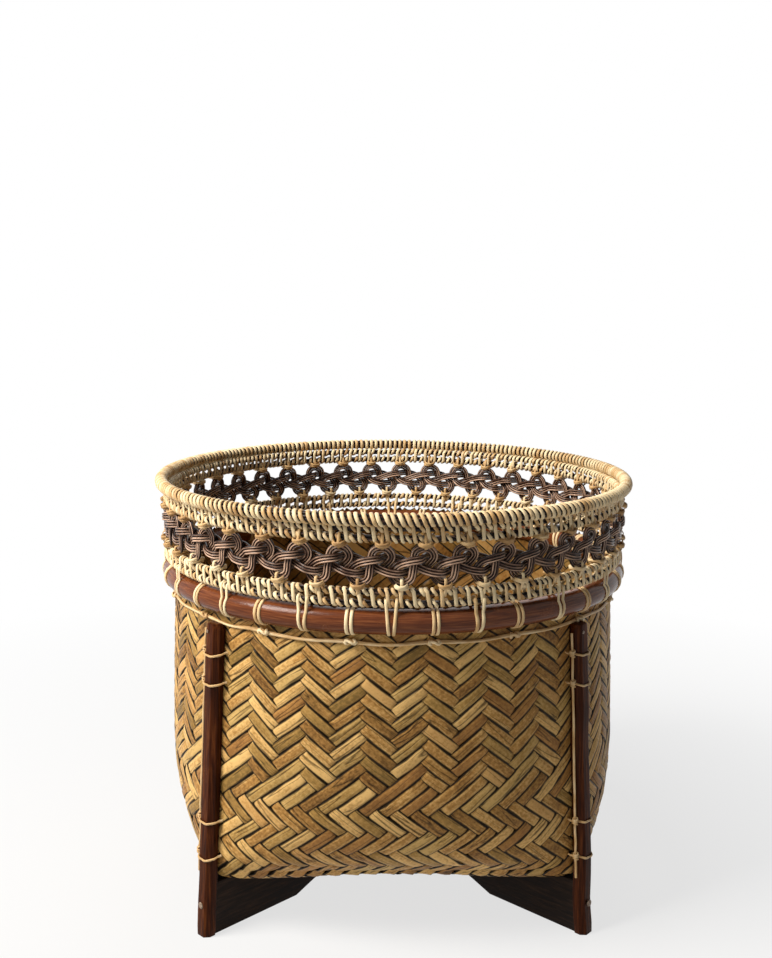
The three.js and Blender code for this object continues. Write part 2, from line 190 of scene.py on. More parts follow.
class CaneWork:
    # Collects swept canes and strips, and makes them one mesh with a UV map, a tone for each cane and
    # painted shade, darker where it lies hidden under other canes in the work
    def __init__(self):
        self.points = []
        self.quads = []
        self.uvs = []
        self.tones = []
        self.paintedShades = []
        self.count = 0

    def sweep(self, path, outward, section, closed=False, tone=0.5, paintedShade=0.0):
        # The section's corners run anticlockwise, as distances to the side and outwards
        path = np.asarray(path, float)
        rows = len(path)
        ahead = np.roll(path, -1, 0) - np.roll(path, 1, 0) if closed else np.gradient(path, axis=0)
        ahead = unit(ahead)
        side = unit(np.cross(ahead, np.broadcast_to(outward, path.shape)))
        proud = np.cross(side, ahead)
        section = np.broadcast_to(section, (rows,) + np.shape(section)[-2:])
        size = section.shape[1]
        points = path[:, None] + section[..., :1] * side[:, None] + section[..., 1:] * proud[:, None]
        steps = np.linalg.norm(np.diff(path, axis=0, append=path[:1]), axis=1)
        along = np.concatenate([[0], np.cumsum(steps)])
        spans = rows if closed else rows - 1
        row, column = (grid.ravel() for grid in np.meshgrid(range(spans), range(size), indexing="ij"))
        after, beside = (row + 1) % rows, (column + 1) % size
        quads = np.stack([row * size + column, after * size + column,
                          after * size + beside, row * size + beside], 1)
        uvs = np.stack([column, along[row], column, along[row + 1],
                        column + 1, along[row + 1], column + 1, along[row]], 1).reshape(-1, 4, 2)
        uvs = uvs / [size, 1]
        if not closed:
            fan = np.array([[0, 2 * k - 1, 2 * k, 2 * k + 1] for k in range(1, size // 2)])
            last = fan[:, ::-1] + (rows - 1) * size
            quads = np.concatenate([quads, fan, last])
            flat = np.zeros((len(fan), 4, 2)) + [0.5, 0]
            uvs = np.concatenate([uvs, flat, flat + [0, along[-2]]])
        self.points.append(points.reshape(-1, 3))
        self.quads.append(quads + self.count)
        self.uvs.append(uvs.reshape(-1, 2))
        self.tones.append(np.full(rows * size, tone))
        # Painted shade for each point of the cane, standing in for the shadow where it lies hidden
        self.paintedShades.append(np.repeat(np.broadcast_to(paintedShade, rows), size))
        self.count += rows * size

    def make(self, name):
        mesh = bpy.data.meshes.new(name)
        mesh.from_pydata(np.concatenate(self.points), [], np.concatenate(self.quads).tolist())
        mesh.uv_layers.new(name="alongCane").data.foreach_set("uv", np.concatenate(self.uvs).ravel())
        for label, values in (("tone", self.tones), ("paintedShade", self.paintedShades)):
            attribute = mesh.attributes.new(label, "FLOAT", "POINT")
            attribute.data.foreach_set("value", np.concatenate(values).astype(np.float32))
        piece = addObject(name, mesh)
        pick(piece)
        shadeSmooth(60)
        return piece


def roundSection(wide, thick, sides=8):
    angles = np.arange(sides) * turn / sides
    return np.stack([wide / 2 * np.cos(angles), thick / 2 * np.sin(angles)], 1)


# A split cane: flat behind and rounded in front
splitShape = np.array([[0.5, -0.5], [0.46, 0.1], [0.24, 0.5], [-0.24, 0.5], [-0.46, 0.1], [-0.5, -0.5]])


def splitSection(wide, thick):
    return splitShape * [wide, thick]


def smoothLoop(knots, steps, closed=True):
    # A curve that runs smoothly through the knots
    knots = np.asarray(knots, float)
    if not closed:
        knots = np.vstack([2 * knots[0] - knots[1], knots, 2 * knots[-1] - knots[-2]])
    count = len(knots)
    first = np.arange(count) if closed else np.arange(1, count - 2)
    share = np.arange(steps)[:, None] / steps
    rows = []
    for i in first:
        a, b, c, d = (knots[(i + k) % count] for k in (-1, 0, 1, 2))
        bend = share * (2 * a - 5 * b + 4 * c - d + share * (3 * (b - c) + d - a))
        rows.append(b + 0.5 * share * (c - a + bend))
    points = np.concatenate(rows)
    return points if closed else np.vstack([points, knots[-2]])


# Shader groups
class Shader:
    # Adds nodes to a tree, with values or other nodes' outputs as inputs
    def __init__(self, tree):
        self.tree = tree

    def feed(self, socket, value):
        if isinstance(value, bpy.types.NodeSocket):
            self.tree.links.new(value, socket)
        elif socket.type == "RGBA":
            socket.default_value = (*value[:3], 1)
        else:
            socket.default_value = value

    def add(self, kind, inputs=None, **settings):
        node = self.tree.nodes.new("ShaderNode" + kind)
        for key, value in settings.items():
            setattr(node, key, value)
        for key, value in (inputs or {}).items():
            self.feed(node.inputs[key], value)
        return node

    def math(self, operation, *values, clamp=False):
        return self.add("Math", dict(enumerate(values)), operation=operation, use_clamp=clamp).outputs[0]

    def apart(self, first, second):
        return self.math("ABSOLUTE", self.math("SUBTRACT", first, second))

    def mix(self, factor, first, second, blend="MIX"):
        inputs = {0: factor, 6: first, 7: second}
        return self.add("Mix", inputs, data_type="RGBA", blend_type=blend, clamp_factor=True).outputs[2]

    def spread(self, value, low, high, toLow=0.0, toHigh=1.0):
        inputs = {"Value": value, "From Min": low, "From Max": high, "To Min": toLow, "To Max": toHigh}
        return self.add("MapRange", inputs, clamp=True).outputs[0]

    def shift(self, level, value, *limits):
        return self.math("ADD", level, self.spread(value, *limits))

    def scaled(self, vector, by):
        return self.add("VectorMath", {0: vector, 1: by}, operation="MULTIPLY").outputs[0]

    def noise(self, vector, scale, detail, **more):
        return self.add("TexNoise", {"Vector": vector, "Scale": scale, "Detail": detail, **more}).outputs[0]

    def group(self, tree, **inputs):
        return self.add("Group", inputs, node_tree=tree).outputs


def newGroup(name, inputs, outputs):
    tree = bpy.data.node_groups.new(name, "ShaderNodeTree")
    for direction, sockets in (("INPUT", inputs), ("OUTPUT", outputs)):
        for label, kind in sockets.items():
            tree.interface.new_socket(label, in_out=direction, socket_type="NodeSocket" + kind)
    shader = Shader(tree)
    start = tree.nodes.new("NodeGroupInput").outputs
    end = tree.nodes.new("NodeGroupOutput").inputs
    return tree, shader, start, end


fibreSet = {
    "contrast": (0.3, 0.7),
    "detail": 5.0,
    "rough": 0.62,
    "splitScale": (0.36, 0.3, 1.0),
    "splitBend": 0.2,
    "splitWide": 0.022,
    "splitDeep": 0.8,
}


def makeFibres():
    # Long fibres: fine streaks across X that run along Y, with a few deep splits
    tree, shader, start, end = newGroup(
        "longFibres",
        {"Vector": "Vector", "Across": "Float", "Along": "Float", "Splits": "Float"},
        {"Streaks": "Float", "Splits": "Float", "Height": "Float"},
    )
    scale = shader.add("CombineXYZ", {"X": start["Across"], "Y": start["Along"], "Z": 1.0}).outputs[0]
    place = shader.scaled(start["Vector"], scale)
    streaks = shader.noise(place, 1.0, fibreSet["detail"], Roughness=fibreSet["rough"])
    broad = shader.scaled(place, fibreSet["splitScale"])
    ridge = shader.apart(shader.noise(broad, 1.0, 1.0, Distortion=fibreSet["splitBend"]), 0.5)
    line = shader.spread(ridge, 0.0, fibreSet["splitWide"], 1.0, 0.0)
    line = shader.math("MULTIPLY", line, start["Splits"], clamp=True)
    height = shader.math("SUBTRACT", streaks, shader.math("MULTIPLY", line, fibreSet["splitDeep"]))
    shader.feed(end["Streaks"], shader.spread(streaks, *fibreSet["contrast"]))
    shader.feed(end["Splits"], line)
    shader.feed(end["Height"], height)
    return tree


def makeThreeTones():
    tree, shader, start, end = newGroup(
        "threeTones",
        {"Factor": "Float", "Dark": "Color", "Middle": "Color", "Light": "Color"},
        {"Color": "Color"},
    )
    lower = shader.mix(shader.spread(start["Factor"], 0.0, 0.5), start["Dark"], start["Middle"])
    upper = shader.mix(shader.spread(start["Factor"], 0.5, 1.0), lower, start["Light"])
    shader.feed(end["Color"], upper)
    return tree


stainSet = {
    "cloudDetail": 4.0,
    "cloudFrom": 0.72,
    "coverReach": 0.4,
    "cloudEdge": 0.16,
    "speckShare": 9.0,
    "speckSize": (0.1, 0.26),
}


def makeStains():
    # Soft cloudy stains and small dark specks
    tree, shader, start, end = newGroup(
        "stains",
        {"Vector": "Vector", "Size": "Float", "Cover": "Float"},
        {"Clouds": "Float", "Specks": "Float"},
    )
    scale = shader.math("DIVIDE", 1.0, start["Size"])
    cloud = shader.noise(start["Vector"], scale, stainSet["cloudDetail"])
    reach = shader.math("MULTIPLY", start["Cover"], stainSet["coverReach"])
    low = shader.math("SUBTRACT", stainSet["cloudFrom"], reach)
    clouds = shader.spread(cloud, low, shader.math("ADD", low, stainSet["cloudEdge"]))
    fine = shader.math("MULTIPLY", scale, stainSet["speckShare"])
    cells = shader.add("TexVoronoi", {"Vector": start["Vector"], "Scale": fine}).outputs["Distance"]
    specks = shader.spread(cells, *stainSet["speckSize"], 1.0, 0.0)
    shader.feed(end["Clouds"], clouds)
    shader.feed(end["Specks"], shader.math("MULTIPLY", specks, clouds))
    return tree


fibres = makeFibres()
threeTones = makeThreeTones()
stains = makeStains()
print("shader groups built")


# Materials
def newMaterial(name, look):
    material = bpy.data.materials.new(name)
    material.use_nodes = True
    surface = material.node_tree.nodes["Principled BSDF"]
    surface.inputs["Roughness"].default_value = look["roughness"]
    surface.inputs["Specular IOR Level"].default_value = look["specular"]
    return material, Shader(material.node_tree), surface


def objectPlace(shader):
    return shader.add("TexCoord").outputs["Object"]


def attributeOf(shader, name):
    return shader.add("Attribute", attribute_name=name).outputs["Fac"]


def caneLevel(shader, look):
    # The level of tone on a cane: its own tone, with a slow drift and fine streaks along it. The grain's
    # place is across in shares of the way round, along in millimetres, and the tone as a third axis.
    uv = shader.add("SeparateXYZ", {0: shader.add("UVMap", uv_map="alongCane").outputs[0]}).outputs
    tone = attributeOf(shader, "tone")
    along = shader.math("MULTIPLY", uv[1], 1000.0)
    seed = shader.math("MULTIPLY", tone, 61.0)
    place = shader.add("CombineXYZ", {"X": uv[0], "Y": along, "Z": seed}).outputs[0]
    fine, coarse, splits = look["grain"]
    grain = shader.group(fibres, Vector=place, Across=fine, Along=coarse, Splits=splits)
    scale, detail, middle, reach = look["drift"]
    drift = shader.math("SUBTRACT", shader.noise(place, scale, detail), middle)
    level = shader.math("ADD", tone, shader.math("MULTIPLY", drift, reach))
    level = shader.shift(level, grain["Streaks"], 0.0, 1.0, *look["streaks"])
    return level, grain, place, uv[0], tone


def threeColors(shader, level, look):
    return shader.group(threeTones, Factor=level, Dark=look["dark"], Middle=look["middle"],
                        Light=look["light"])["Color"]


def stained(shader, color, amount, share, stain):
    return shader.mix(shader.math("MULTIPLY", amount, share), color, stain)


def finishSurface(shader, surface, color, height, look):
    strength, distance = look["bump"]
    node = shader.add("Bump", {"Height": height, "Strength": strength, "Distance": distance})
    shader.feed(surface.inputs["Base Color"], color)
    shader.feed(surface.inputs["Normal"], node.outputs[0])


# In these looks grain is the scale across and along and the share of splits, drift is the scale, detail,
# middle and reach, and bump is the strength and depth. Other fours are a range and what it becomes.
plaitTones = {
    "dark": (0.150, 0.068, 0.017),
    "middle": (0.430, 0.222, 0.060),
    "light": (0.760, 0.480, 0.175),
    "olive": (0.300, 0.215, 0.060),
    "orange": (0.460, 0.215, 0.062),
    # near black: the real splits, and the painted shade at strip edges and under other strips
    "gap": (0.005, 0.003, 0.001),
    # inside: painted shade multiplied over the strips' inner faces
    "inside": (0.500, 0.440, 0.380),
    "grain": (13.0, 0.035, 1.0),
    "drift": (0.035, 2.0, 0.5, 0.9),
    "streaks": (-0.16, 0.16),
    "mottle": (15.0, 0.4, 1.0),
    "mottleReach": (0.32, 0.68, -0.22, 0.22),
    "mottleDetail": 4.0,
    "outerMiddle": 0.4375,
    "innerMiddle": 0.9375,
    "innerEdge": (0.046, 0.0625),
    # painted highlight along both edges of a strip's outer face
    "edgeHighlight": (0.06, 0.13, 0.0, 0.16),
    # painted shade along the strips' sides and the edges of their outer face
    "edgeShade": (0.135, 0.19, 0.0, 0.97),
    # painted shade: the range over which a hidden strip turns near black
    "hiddenShade": (0.25, 0.9, 0.0, 0.97),
    "turned": (0.9, 2.0),
    "secondTone": 13.7,
    "oliveStrips": (0.78, 0.84, 0.0, 0.35),
    "orangeStrips": (0.20, 0.12, 0.0, 0.4),
    "splitShare": 0.75,
    "stains": (0.03, 0.3),
    "speckShare": 0.6,
    "roughness": 0.46,
    "specular": 0.13,
    "bump": (0.7, 0.0004),
}


def plaitMaterial(name, look):
    material, shader, surface = newMaterial(name, look)
    level, grain, place, across, tone = caneLevel(shader, look)
    mottle = shader.noise(shader.scaled(place, look["mottle"]), 1.0, look["mottleDetail"])
    level = shader.shift(level, mottle, *look["mottleReach"])
    # Painted highlight: the outer face is paler close to its edges
    edge = shader.apart(across, look["outerMiddle"])
    color = threeColors(shader, shader.shift(level, edge, *look["edgeHighlight"]), look)
    second = shader.math("FRACT", shader.math("MULTIPLY", tone, look["secondTone"]))
    color = shader.mix(shader.spread(second, *look["oliveStrips"]), color, look["olive"])
    color = shader.mix(shader.spread(second, *look["orangeStrips"]), color, look["orange"])
    color = stained(shader, color, grain["Splits"], look["splitShare"], look["gap"])
    size, cover = look["stains"]
    spots = shader.group(stains, Vector=objectPlace(shader), Size=size, Cover=cover)
    color = stained(shader, color, spots["Specks"], look["speckShare"], look["dark"])
    # The strip's inner face is darkened as painted shade, and the painted hidden shade is turned round there,
    # so that it falls where the strip lies outermost
    outside = shader.spread(shader.apart(across, look["innerMiddle"]), *look["innerEdge"])
    inside = shader.math("SUBTRACT", 1.0, outside)
    color = shader.mix(inside, color, look["inside"], "MULTIPLY")
    # Painted shade darkens each strip's sides and the edges of its outer face
    edgeShade = shader.math("MINIMUM", shader.spread(edge, *look["edgeShade"]), outside)
    color = shader.mix(edgeShade, color, look["gap"])
    # Painted shade where the strip dives under others, turned round on the inner face where the strip lies
    # outermost
    paintedShade = attributeOf(shader, "paintedShade")
    top, slope = look["turned"]
    turned = shader.math("SUBTRACT", top, shader.math("MULTIPLY", paintedShade, slope))
    paintedShade = shader.math("ADD", paintedShade, shader.math("MULTIPLY", turned, inside))
    color = shader.mix(shader.spread(paintedShade, *look["hiddenShade"]), color, look["gap"])
    finishSurface(shader, surface, color, grain["Height"], look)
    return material


caneTones = {
    "dark": (0.190, 0.075, 0.024),
    "middle": (0.640, 0.400, 0.170),
    "light": (0.920, 0.745, 0.460),
    "grain": (14.0, 0.06, 0.35),
    "drift": (0.06, 3.0, 0.45, 1.2),
    "streaks": (-0.12, 0.12),
    "splitShare": 0.6,
    "roughness": 0.4,
    "specular": 0.25,
    "bump": (0.35, 0.0002),
}
braidTones = {
    "dark": (0.010, 0.004, 0.002),
    "middle": (0.062, 0.023, 0.012),
    "light": (0.700, 0.460, 0.320),
    # painted highlight on each cane's outer and inner side, painted shade on its flanks
    "crownLightFlankShade": (0.05, 0.18, 0.34, -0.5),
    "grain": (11.0, 0.05, 0.7),
    "drift": (0.05, 3.0, 0.5, 1.3),
    "streaks": (-0.25, 0.25),
    "splitShare": 0.8,
    "roughness": 0.28,
    "specular": 0.2,
    "bump": (0.4, 0.0003),
}
# The cores take the braid's tones shifted far darker: their own dark cane colour, deepened as painted shade
# in the gaps between the stitches where they show
coreTones = {**braidTones, "streaks": (-0.61, -0.11)}


def caneMaterial(name, look):
    # A crown is a painted highlight along the outer and inner side of each cane, with painted shade on its
    # two flanks
    material, shader, surface = newMaterial(name, look)
    level, grain, _, across, _ = caneLevel(shader, look)
    if "crownLightFlankShade" in look:
        side = shader.apart(shader.apart(across, 0.5), 0.25)
        level = shader.shift(level, side, *look["crownLightFlankShade"])
    color = threeColors(shader, level, look)
    color = stained(shader, color, grain["Splits"], look["splitShare"], look["dark"])
    finishSurface(shader, surface, color, grain["Height"], look)
    return material


woodGrain = {
    "detail": 6.0,
    "rough": 0.6,
    "bend": 0.15,
    "contrast": (0.32, 0.68),
    "spotSize": 0.02,
    "cloudShare": 0.35,
    "speckShare": 0.7,
    "roughCloud": 0.15,
}


def woodMaterial(name, look):
    # Stained wood or worn metal, with long grain and scattered worn spots
    material, shader, surface = newMaterial(name, look)
    place = objectPlace(shader)
    grain = shader.noise(shader.scaled(place, look["grain"]), 1.0, woodGrain["detail"],
                         Roughness=woodGrain["rough"], Distortion=woodGrain["bend"])
    spots = shader.group(stains, Vector=place, Size=woodGrain["spotSize"], Cover=look["wear"])
    color = threeColors(shader, shader.spread(grain, *woodGrain["contrast"]), look)
    color = stained(shader, color, spots["Clouds"], woodGrain["cloudShare"], look["light"])
    color = stained(shader, color, spots["Specks"], woodGrain["speckShare"], look["worn"])
    finishSurface(shader, surface, color, grain, look)
    roughest = look["roughness"] + woodGrain["roughCloud"]
    rough = shader.spread(spots["Clouds"], 0.0, 1.0, look["roughness"], roughest)
    shader.feed(surface.inputs["Roughness"], rough)
    return material


hoopTones = {
    "dark": (0.078, 0.019, 0.006),
    "middle": (0.140, 0.037, 0.011),
    "light": (0.225, 0.072, 0.022),
    "worn": (0.420, 0.200, 0.090),
    "roughness": 0.2,
    "specular": 0.16,
    "wear": 0.35,
    "grain": (46.0, 46.0, 1100.0),
    "bump": (0.3, 0.0004),
}
poleTones = {
    "dark": (0.018, 0.004, 0.001),
    "middle": (0.052, 0.012, 0.003),
    "light": (0.120, 0.034, 0.008),
    "worn": (0.220, 0.120, 0.070),
    "roughness": 0.32,
    "specular": 0.06,
    "wear": 0.25,
    "grain": (520.0, 520.0, 22.0),
    "bump": (0.5, 0.0004),
}
boardTones = {
    "dark": (0.006, 0.004, 0.003),
    "middle": (0.016, 0.009, 0.006),
    "light": (0.040, 0.023, 0.015),
    "worn": (0.080, 0.052, 0.035),
    "roughness": 0.6,
    "specular": 0.1,
    "wear": 0.25,
    "grain": (40.0, 40.0, 420.0),
    "bump": (0.5, 0.0004),
}
nailTones = {
    "dark": (0.120, 0.070, 0.045),
    "middle": (0.230, 0.160, 0.110),
    "light": (0.360, 0.280, 0.210),
    "worn": (0.180, 0.060, 0.025),
    "roughness": 0.5,
    "specular": 0.4,
    "wear": 0.4,
    "grain": (900.0, 900.0, 900.0),
    "bump": (0.3, 0.0004),
}

plaitLook = plaitMaterial("plaitBamboo", plaitTones)
caneLook = caneMaterial("lightCane", caneTones)
braidLook = caneMaterial("braidCane", braidTones)
coreLook = caneMaterial("darkCore", coreTones)
hoopLook = woodMaterial("hoopCane", hoopTones)
poleLook = woodMaterial("poleWood", poleTones)
boardLook = woodMaterial("boardWood", boardTones)
nailLook = woodMaterial("nailMetal", nailTones)
print("materials built")


# Plaited body
plaitSet = {
    "topRow": 39,
    "squareRows": 15,
    "footHeight": 54.3 * mm,
    "footHalf": 146.8 * mm,
    "footCorner": 195 * mm,
    "fullness": 8,
    "rowSwell": 0.18,
    "floorHeight": 42.3 * mm,
    "bend": 12 * mm,
    "floorLift": 6.5 * mm,
    "inset": 1.5 * mm,
    "weave": 0.66 * mm,
    "bow": 0.4 * mm,
    "thick": 1.3 * mm,
    "cover": 1.02,
    "tones": (0.12, 0.95),
    "tilt": 0.07,
    "sway": 0.2 * mm,
    "uneven": 0.02,
    "spacing": (8 * mm, 12.5 * mm),
    "staying": (0, 0.5),
    "diving": (0, 0.24, 0.37, 0.5, 0.63, 0.76),
    "diveLong": 0.52,
    # painted shade for a strip under others: its level halfway through a dive, and how it deepens
    "paintedShadeLevel": 0.45,
    "paintedShadeDepth": 0.75,
    "tableCells": 40,
    "probe": (0.004, 0.4 * mm),
    "topGap": 0.3 * mm,
    "wallSlack": 1.01,
    "floorBlend": 5,
    "flatTo": 0.97,
    "squareFrom": 1.4,
}
twill = 3
stripShape = np.array([[0.47, -0.5], [0.5, -0.12], [0.43, 0.24], [0.2, 0.5],
                       [-0.2, 0.5], [-0.43, 0.24], [-0.5, -0.12], [-0.47, -0.5]])
unitsRound = 4 * (frontUnits + sideUnits)
flatLength = plaitSet["footHalf"] - plaitSet["bend"]
edgeLength = flatLength + plaitSet["bend"] * math.pi / 2
edgeRow = (edgeLength / plaitSet["footHalf"] - 1) * frontUnits
wallLength = (bodyTop - plaitSet["footHeight"]) * plaitSet["wallSlack"]
wallUnit = wallLength / (plaitSet["topRow"] - edgeRow)


def squareAt(height):
    return np.clip((poleTop - height) / (poleTop - plaitSet["footHeight"]), 0, 1)


def contourRadius(angle, height, inset):
    # The body's outline at a height, by the angle from the middle of a side
    square = squareAt(height)
    half = bodyRadius - (bodyRadius - plaitSet["footHalf"]) * square ** plaitSet["fullness"] - inset
    corner = bodyRadius + (plaitSet["footCorner"] - bodyRadius) * square - inset
    power = math.log(2) / np.log(half * math.sqrt(2) / corner)
    total = np.abs(np.cos(angle)) ** power + np.abs(np.sin(angle)) ** power
    return half / total ** (1 / power)


contourHeights = np.linspace(plaitSet["footHeight"], bodyTop, plaitSet["tableCells"] + 1)
contourShares = np.linspace(0, 1, plaitSet["tableCells"] + 1)


def contourAngles():
    # Angles at even shares of the length of an eighth of the outline
    angles = np.linspace(0, turn / 8, 81)
    rows = []
    for height in contourHeights:
        points = around(contourRadius(angles, height, 0), angles, 0)
        lengths = np.concatenate([[0], np.cumsum(np.linalg.norm(np.diff(points, axis=0), axis=1))])
        rows.append(np.interp(contourShares, lengths / lengths[-1], angles))
    return np.array(rows)


angleTable = contourAngles()


def angleAt(share, height):
    cells = plaitSet["tableCells"]
    level = np.interp(height, contourHeights, np.arange(cells + 1))
    column = np.clip(np.abs(share), 0, 1) * cells
    row0, column0 = np.minimum(level.astype(int), cells - 1), np.minimum(column.astype(int), cells - 1)
    rowShare, columnShare = level - row0, column - column0
    low, high = (angleTable[row, column0] * (1 - columnShare) + angleTable[row, column0 + 1] * columnShare
                 for row in (row0, row0 + 1))
    return np.sign(share) * (low * (1 - rowShare) + high * rowShare)


def bodyPoint(eighths, length):
    # A place on the middle of the wall: eighths of the way round from the front, length from the centre
    inset, bend = plaitSet["inset"], plaitSet["bend"]
    side = np.round(eighths / 2)
    share = eighths - 2 * side
    wallShare = np.clip((length - edgeLength) / wallLength, 0, 1)
    wallShare = wallShare + plaitSet["rowSwell"] * wallShare ** 2 * (1 - wallShare)
    height = plaitSet["footHeight"] + wallShare * (bodyTop - plaitSet["topGap"] - plaitSet["footHeight"])
    angle = angleAt(share, height)
    bendAngle = np.clip((length - flatLength) / bend, 0, math.pi / 2)
    rounded = contourRadius(angle, height, inset + (bend - inset) * (1 - np.sin(bendAngle)))
    # The base is a square grid in the middle and follows the wall's outline at its edge
    flat = np.clip(length / flatLength, 0, 1)
    blend = flat ** plaitSet["floorBlend"]
    across = flat * (share * flatLength * (1 - blend) + rounded * np.sin(angle) * blend)
    out = flat * (flatLength * (1 - blend) + rounded * np.cos(angle) * blend)
    lift = plaitSet["floorLift"] * np.cos(2 * angle) ** 2
    lift = lift * flat ** 2 * (1 - bendAngle / (math.pi / 2))
    low = plaitSet["floorHeight"] + inset + (bend - inset) * (1 - np.cos(bendAngle)) + lift
    z = np.where(length > edgeLength, height, low)
    facing = side * turn / 4 - turn / 4
    stretch = baseStretch * squareAt(z)
    return np.stack([(out * np.cos(facing) - across * np.sin(facing)) * (1 + stretch),
                     (out * np.sin(facing) + across * np.cos(facing)) * (1 - stretch), z], -1)


def bodyFrame(eighths, length):
    # A place on the wall and the way out of it
    point = bodyPoint(eighths, length)
    aside, along = plaitSet["probe"]
    beside = bodyPoint(eighths + aside, length) - bodyPoint(eighths - aside, length)
    above = bodyPoint(eighths, length + along) - bodyPoint(eighths, length - along)
    normal = unit(np.cross(beside, above))
    level = (length < flatLength * plaitSet["flatTo"])[:, None]
    return point, np.where(level, [0, 0, -1.0], normal)


def wallPlace(u, v):
    # From cells round the wall and rows above the base's edge
    edges = np.cumsum([-frontUnits, 2 * frontUnits, 2 * sideUnits, 2 * frontUnits, 2 * sideUnits])
    lap = np.floor((u + frontUnits) / unitsRound)
    cornered = np.interp(u - lap * unitsRound, edges, [-1, 1, 3, 5, 7]) + 8 * lap
    even = u * 8 / unitsRound
    length = np.where(v < edgeRow, plaitSet["footHalf"] * (1 + v / frontUnits),
                      edgeLength + (v - edgeRow) * wallUnit)
    square = squareAt(plaitSet["footHeight"] + np.clip(length - edgeLength, 0, None))
    return even + (cornered - even) * smoothStep(square * plaitSet["squareFrom"]), length


def floorPlace(x, y):
    # From cells on the base, counted from its centre
    x, y = x / frontUnits, y / sideUnits
    reach = np.maximum(np.maximum(np.abs(x), np.abs(y)), 1e-6)
    front, side = x / reach, y / reach
    eighths = np.select([y <= -reach, x >= reach, y >= reach], [front, 2 + side, 4 - front], 6 - side)
    return eighths, reach * plaitSet["footHalf"]


def inTwill(count):
    return np.mod(count, 2 * twill) < twill


def risingOver(u, v):
    # Whether the strip that rises to the right lies outside, where two cross on the wall
    return inTwill(np.round(np.where(v < plaitSet["squareRows"], v, u)))


def wallRun(x, y, dx, dy):
    # One end of a strip, from the base's edge up the wall: its cells, its rows and which way it rises
    if y == -sideUnits:
        start, step = x, dx
    elif x == frontUnits:
        start, step = frontUnits + sideUnits + y, dy
    elif y == sideUnits:
        start, step = 2 * frontUnits + 2 * sideUnits - x, -dx
    else:
        start, step = 3 * frontUnits + 3 * sideUnits - y, -dy
    v = np.arange(0, plaitSet["topRow"] + 1)
    return start + step * v, v, step


def stripLine(offset, step):
    # The cells that a strip passes on the base, x rising: y = offset + step * x
    x = np.arange(-frontUnits, frontUnits + 1)
    y = offset + step * x
    keep = np.abs(y) <= sideUnits
    return x[keep], y[keep]


def layStrip(work, offset, step, tone):
    x, y = stripLine(offset, step)
    beyondX, beyondY = np.abs(x) - frontUnits, np.abs(y) - sideUnits
    rises = np.where(beyondY >= beyondX, step < 0, step > 0)
    over = inTwill(np.maximum(beyondX, beyondY)) == rises
    startU, startV, startStep = wallRun(x[0], y[0], -1, -step)
    endU, endV, endStep = wallRun(x[-1], y[-1], 1, step)
    startOver = risingOver(startU, startV) == (startStep > 0)
    endOver = risingOver(endU, endV) == (endStep > 0)
    over = np.concatenate([startOver[::-1], over[1:-1], endOver])
    top, floorCount = plaitSet["topRow"], len(x) - 1

    # Stations: two in a cell where the strip stays on its side, six where it dives through
    changes = over[:-1] != over[1:]
    stations = []
    for k, dives in enumerate(changes):
        stations += [k + share for share in plaitSet["diving" if dives else "staying"]]
    stations = np.array(stations + [len(over) - 1.0])
    cell = np.minimum(stations.astype(int), len(over) - 2)
    share = (stations - cell - plaitSet["diving"][1]) / plaitSet["diveLong"]
    sign = np.where(over, 1.0, -1.0)
    lift = sign[cell] + (sign[cell + 1] - sign[cell]) * smoothStep(share)
    dives = np.concatenate([[-1.5], np.nonzero(changes)[0] + 0.5, [len(over) + 0.5]])
    nearest = np.searchsorted(dives, stations)
    before, after = dives[nearest - 1], dives[np.minimum(nearest, len(dives) - 1)]
    bow = np.sin(np.clip((stations - before) / np.maximum(after - before, 0.1), 0, 1) * math.pi)
    # Painted shade: darker as the strip dives under the strips that cross it
    paintedShade = np.clip(plaitSet["paintedShadeLevel"] - plaitSet["paintedShadeDepth"] * lift, 0, 1)
    lift = plaitSet["weave"] * lift + plaitSet["bow"] * bow * np.sign(lift)

    # Where each station lies: down one wall, across the base and up the other wall
    onFirst, onLast = stations <= top, stations >= top + floorCount

    def placesAt(aside):
        first = wallPlace(startU[0] + startStep * (top - stations) + aside, top - stations)
        last = stations - top - floorCount
        last = wallPlace(endU[0] + endStep * last + aside, last)
        along = np.clip(stations - top, 0, floorCount)
        middle = floorPlace(x[0] + along + aside, y[0] + step * along)
        return [np.where(onFirst, a, np.where(onLast, b, c)) for a, b, c in zip(first, last, middle)]

    point, normal = bodyFrame(*placesAt(0))
    ahead = unit(np.gradient(point, axis=0))
    nearby = (bodyPoint(*placesAt(0.25)) - bodyPoint(*placesAt(-0.25))) * 4
    spacing = np.linalg.norm(np.cross(nearby, ahead), axis=1)
    spacing = np.convolve(np.pad(spacing, 4, "edge"), np.ones(9) / 9, "valid")
    spacing = np.clip(spacing, *plaitSet["spacing"])

    # Each float sways and tilts a little
    def wandering(reach):
        return np.interp(stations, np.arange(len(over)), chance.normal(0, reach, len(over)))

    sway, tilt = wandering(plaitSet["sway"]), wandering(plaitSet["tilt"])
    side = unit(np.cross(ahead, normal))
    leaning = unit(normal + tilt[:, None] * side)
    wide = plaitSet["cover"] * spacing
    wide = wide * (1 + plaitSet["uneven"] * wandering(1))
    section = stripShape * np.stack([wide, np.full_like(wide, plaitSet["thick"])], 1)[:, None]
    work.sweep(point + lift[:, None] * normal + sway[:, None] * side, leaning, section, tone=tone,
               paintedShade=paintedShade)


def makePlait():
    last = sideUnits + frontUnits - 1
    for name, step in (("plaitRightStrips", 1), ("plaitLeftStrips", -1)):
        halves = (CaneWork(), CaneWork())
        for offset in range(-last, last + 1, 2):
            layStrip(halves[offset > 0], offset, step, chance.uniform(*plaitSet["tones"]))
        for label, work in zip(("A", "B"), halves):
            settle(work.make(name + label), plaitLook, "plait", "plaited_body")


makePlait()
print("plaited body woven")


# Hoops: a circle cut in half and spun round, with its flat side to the wall
hoopSet = {"steps": 180, "profile": 22}


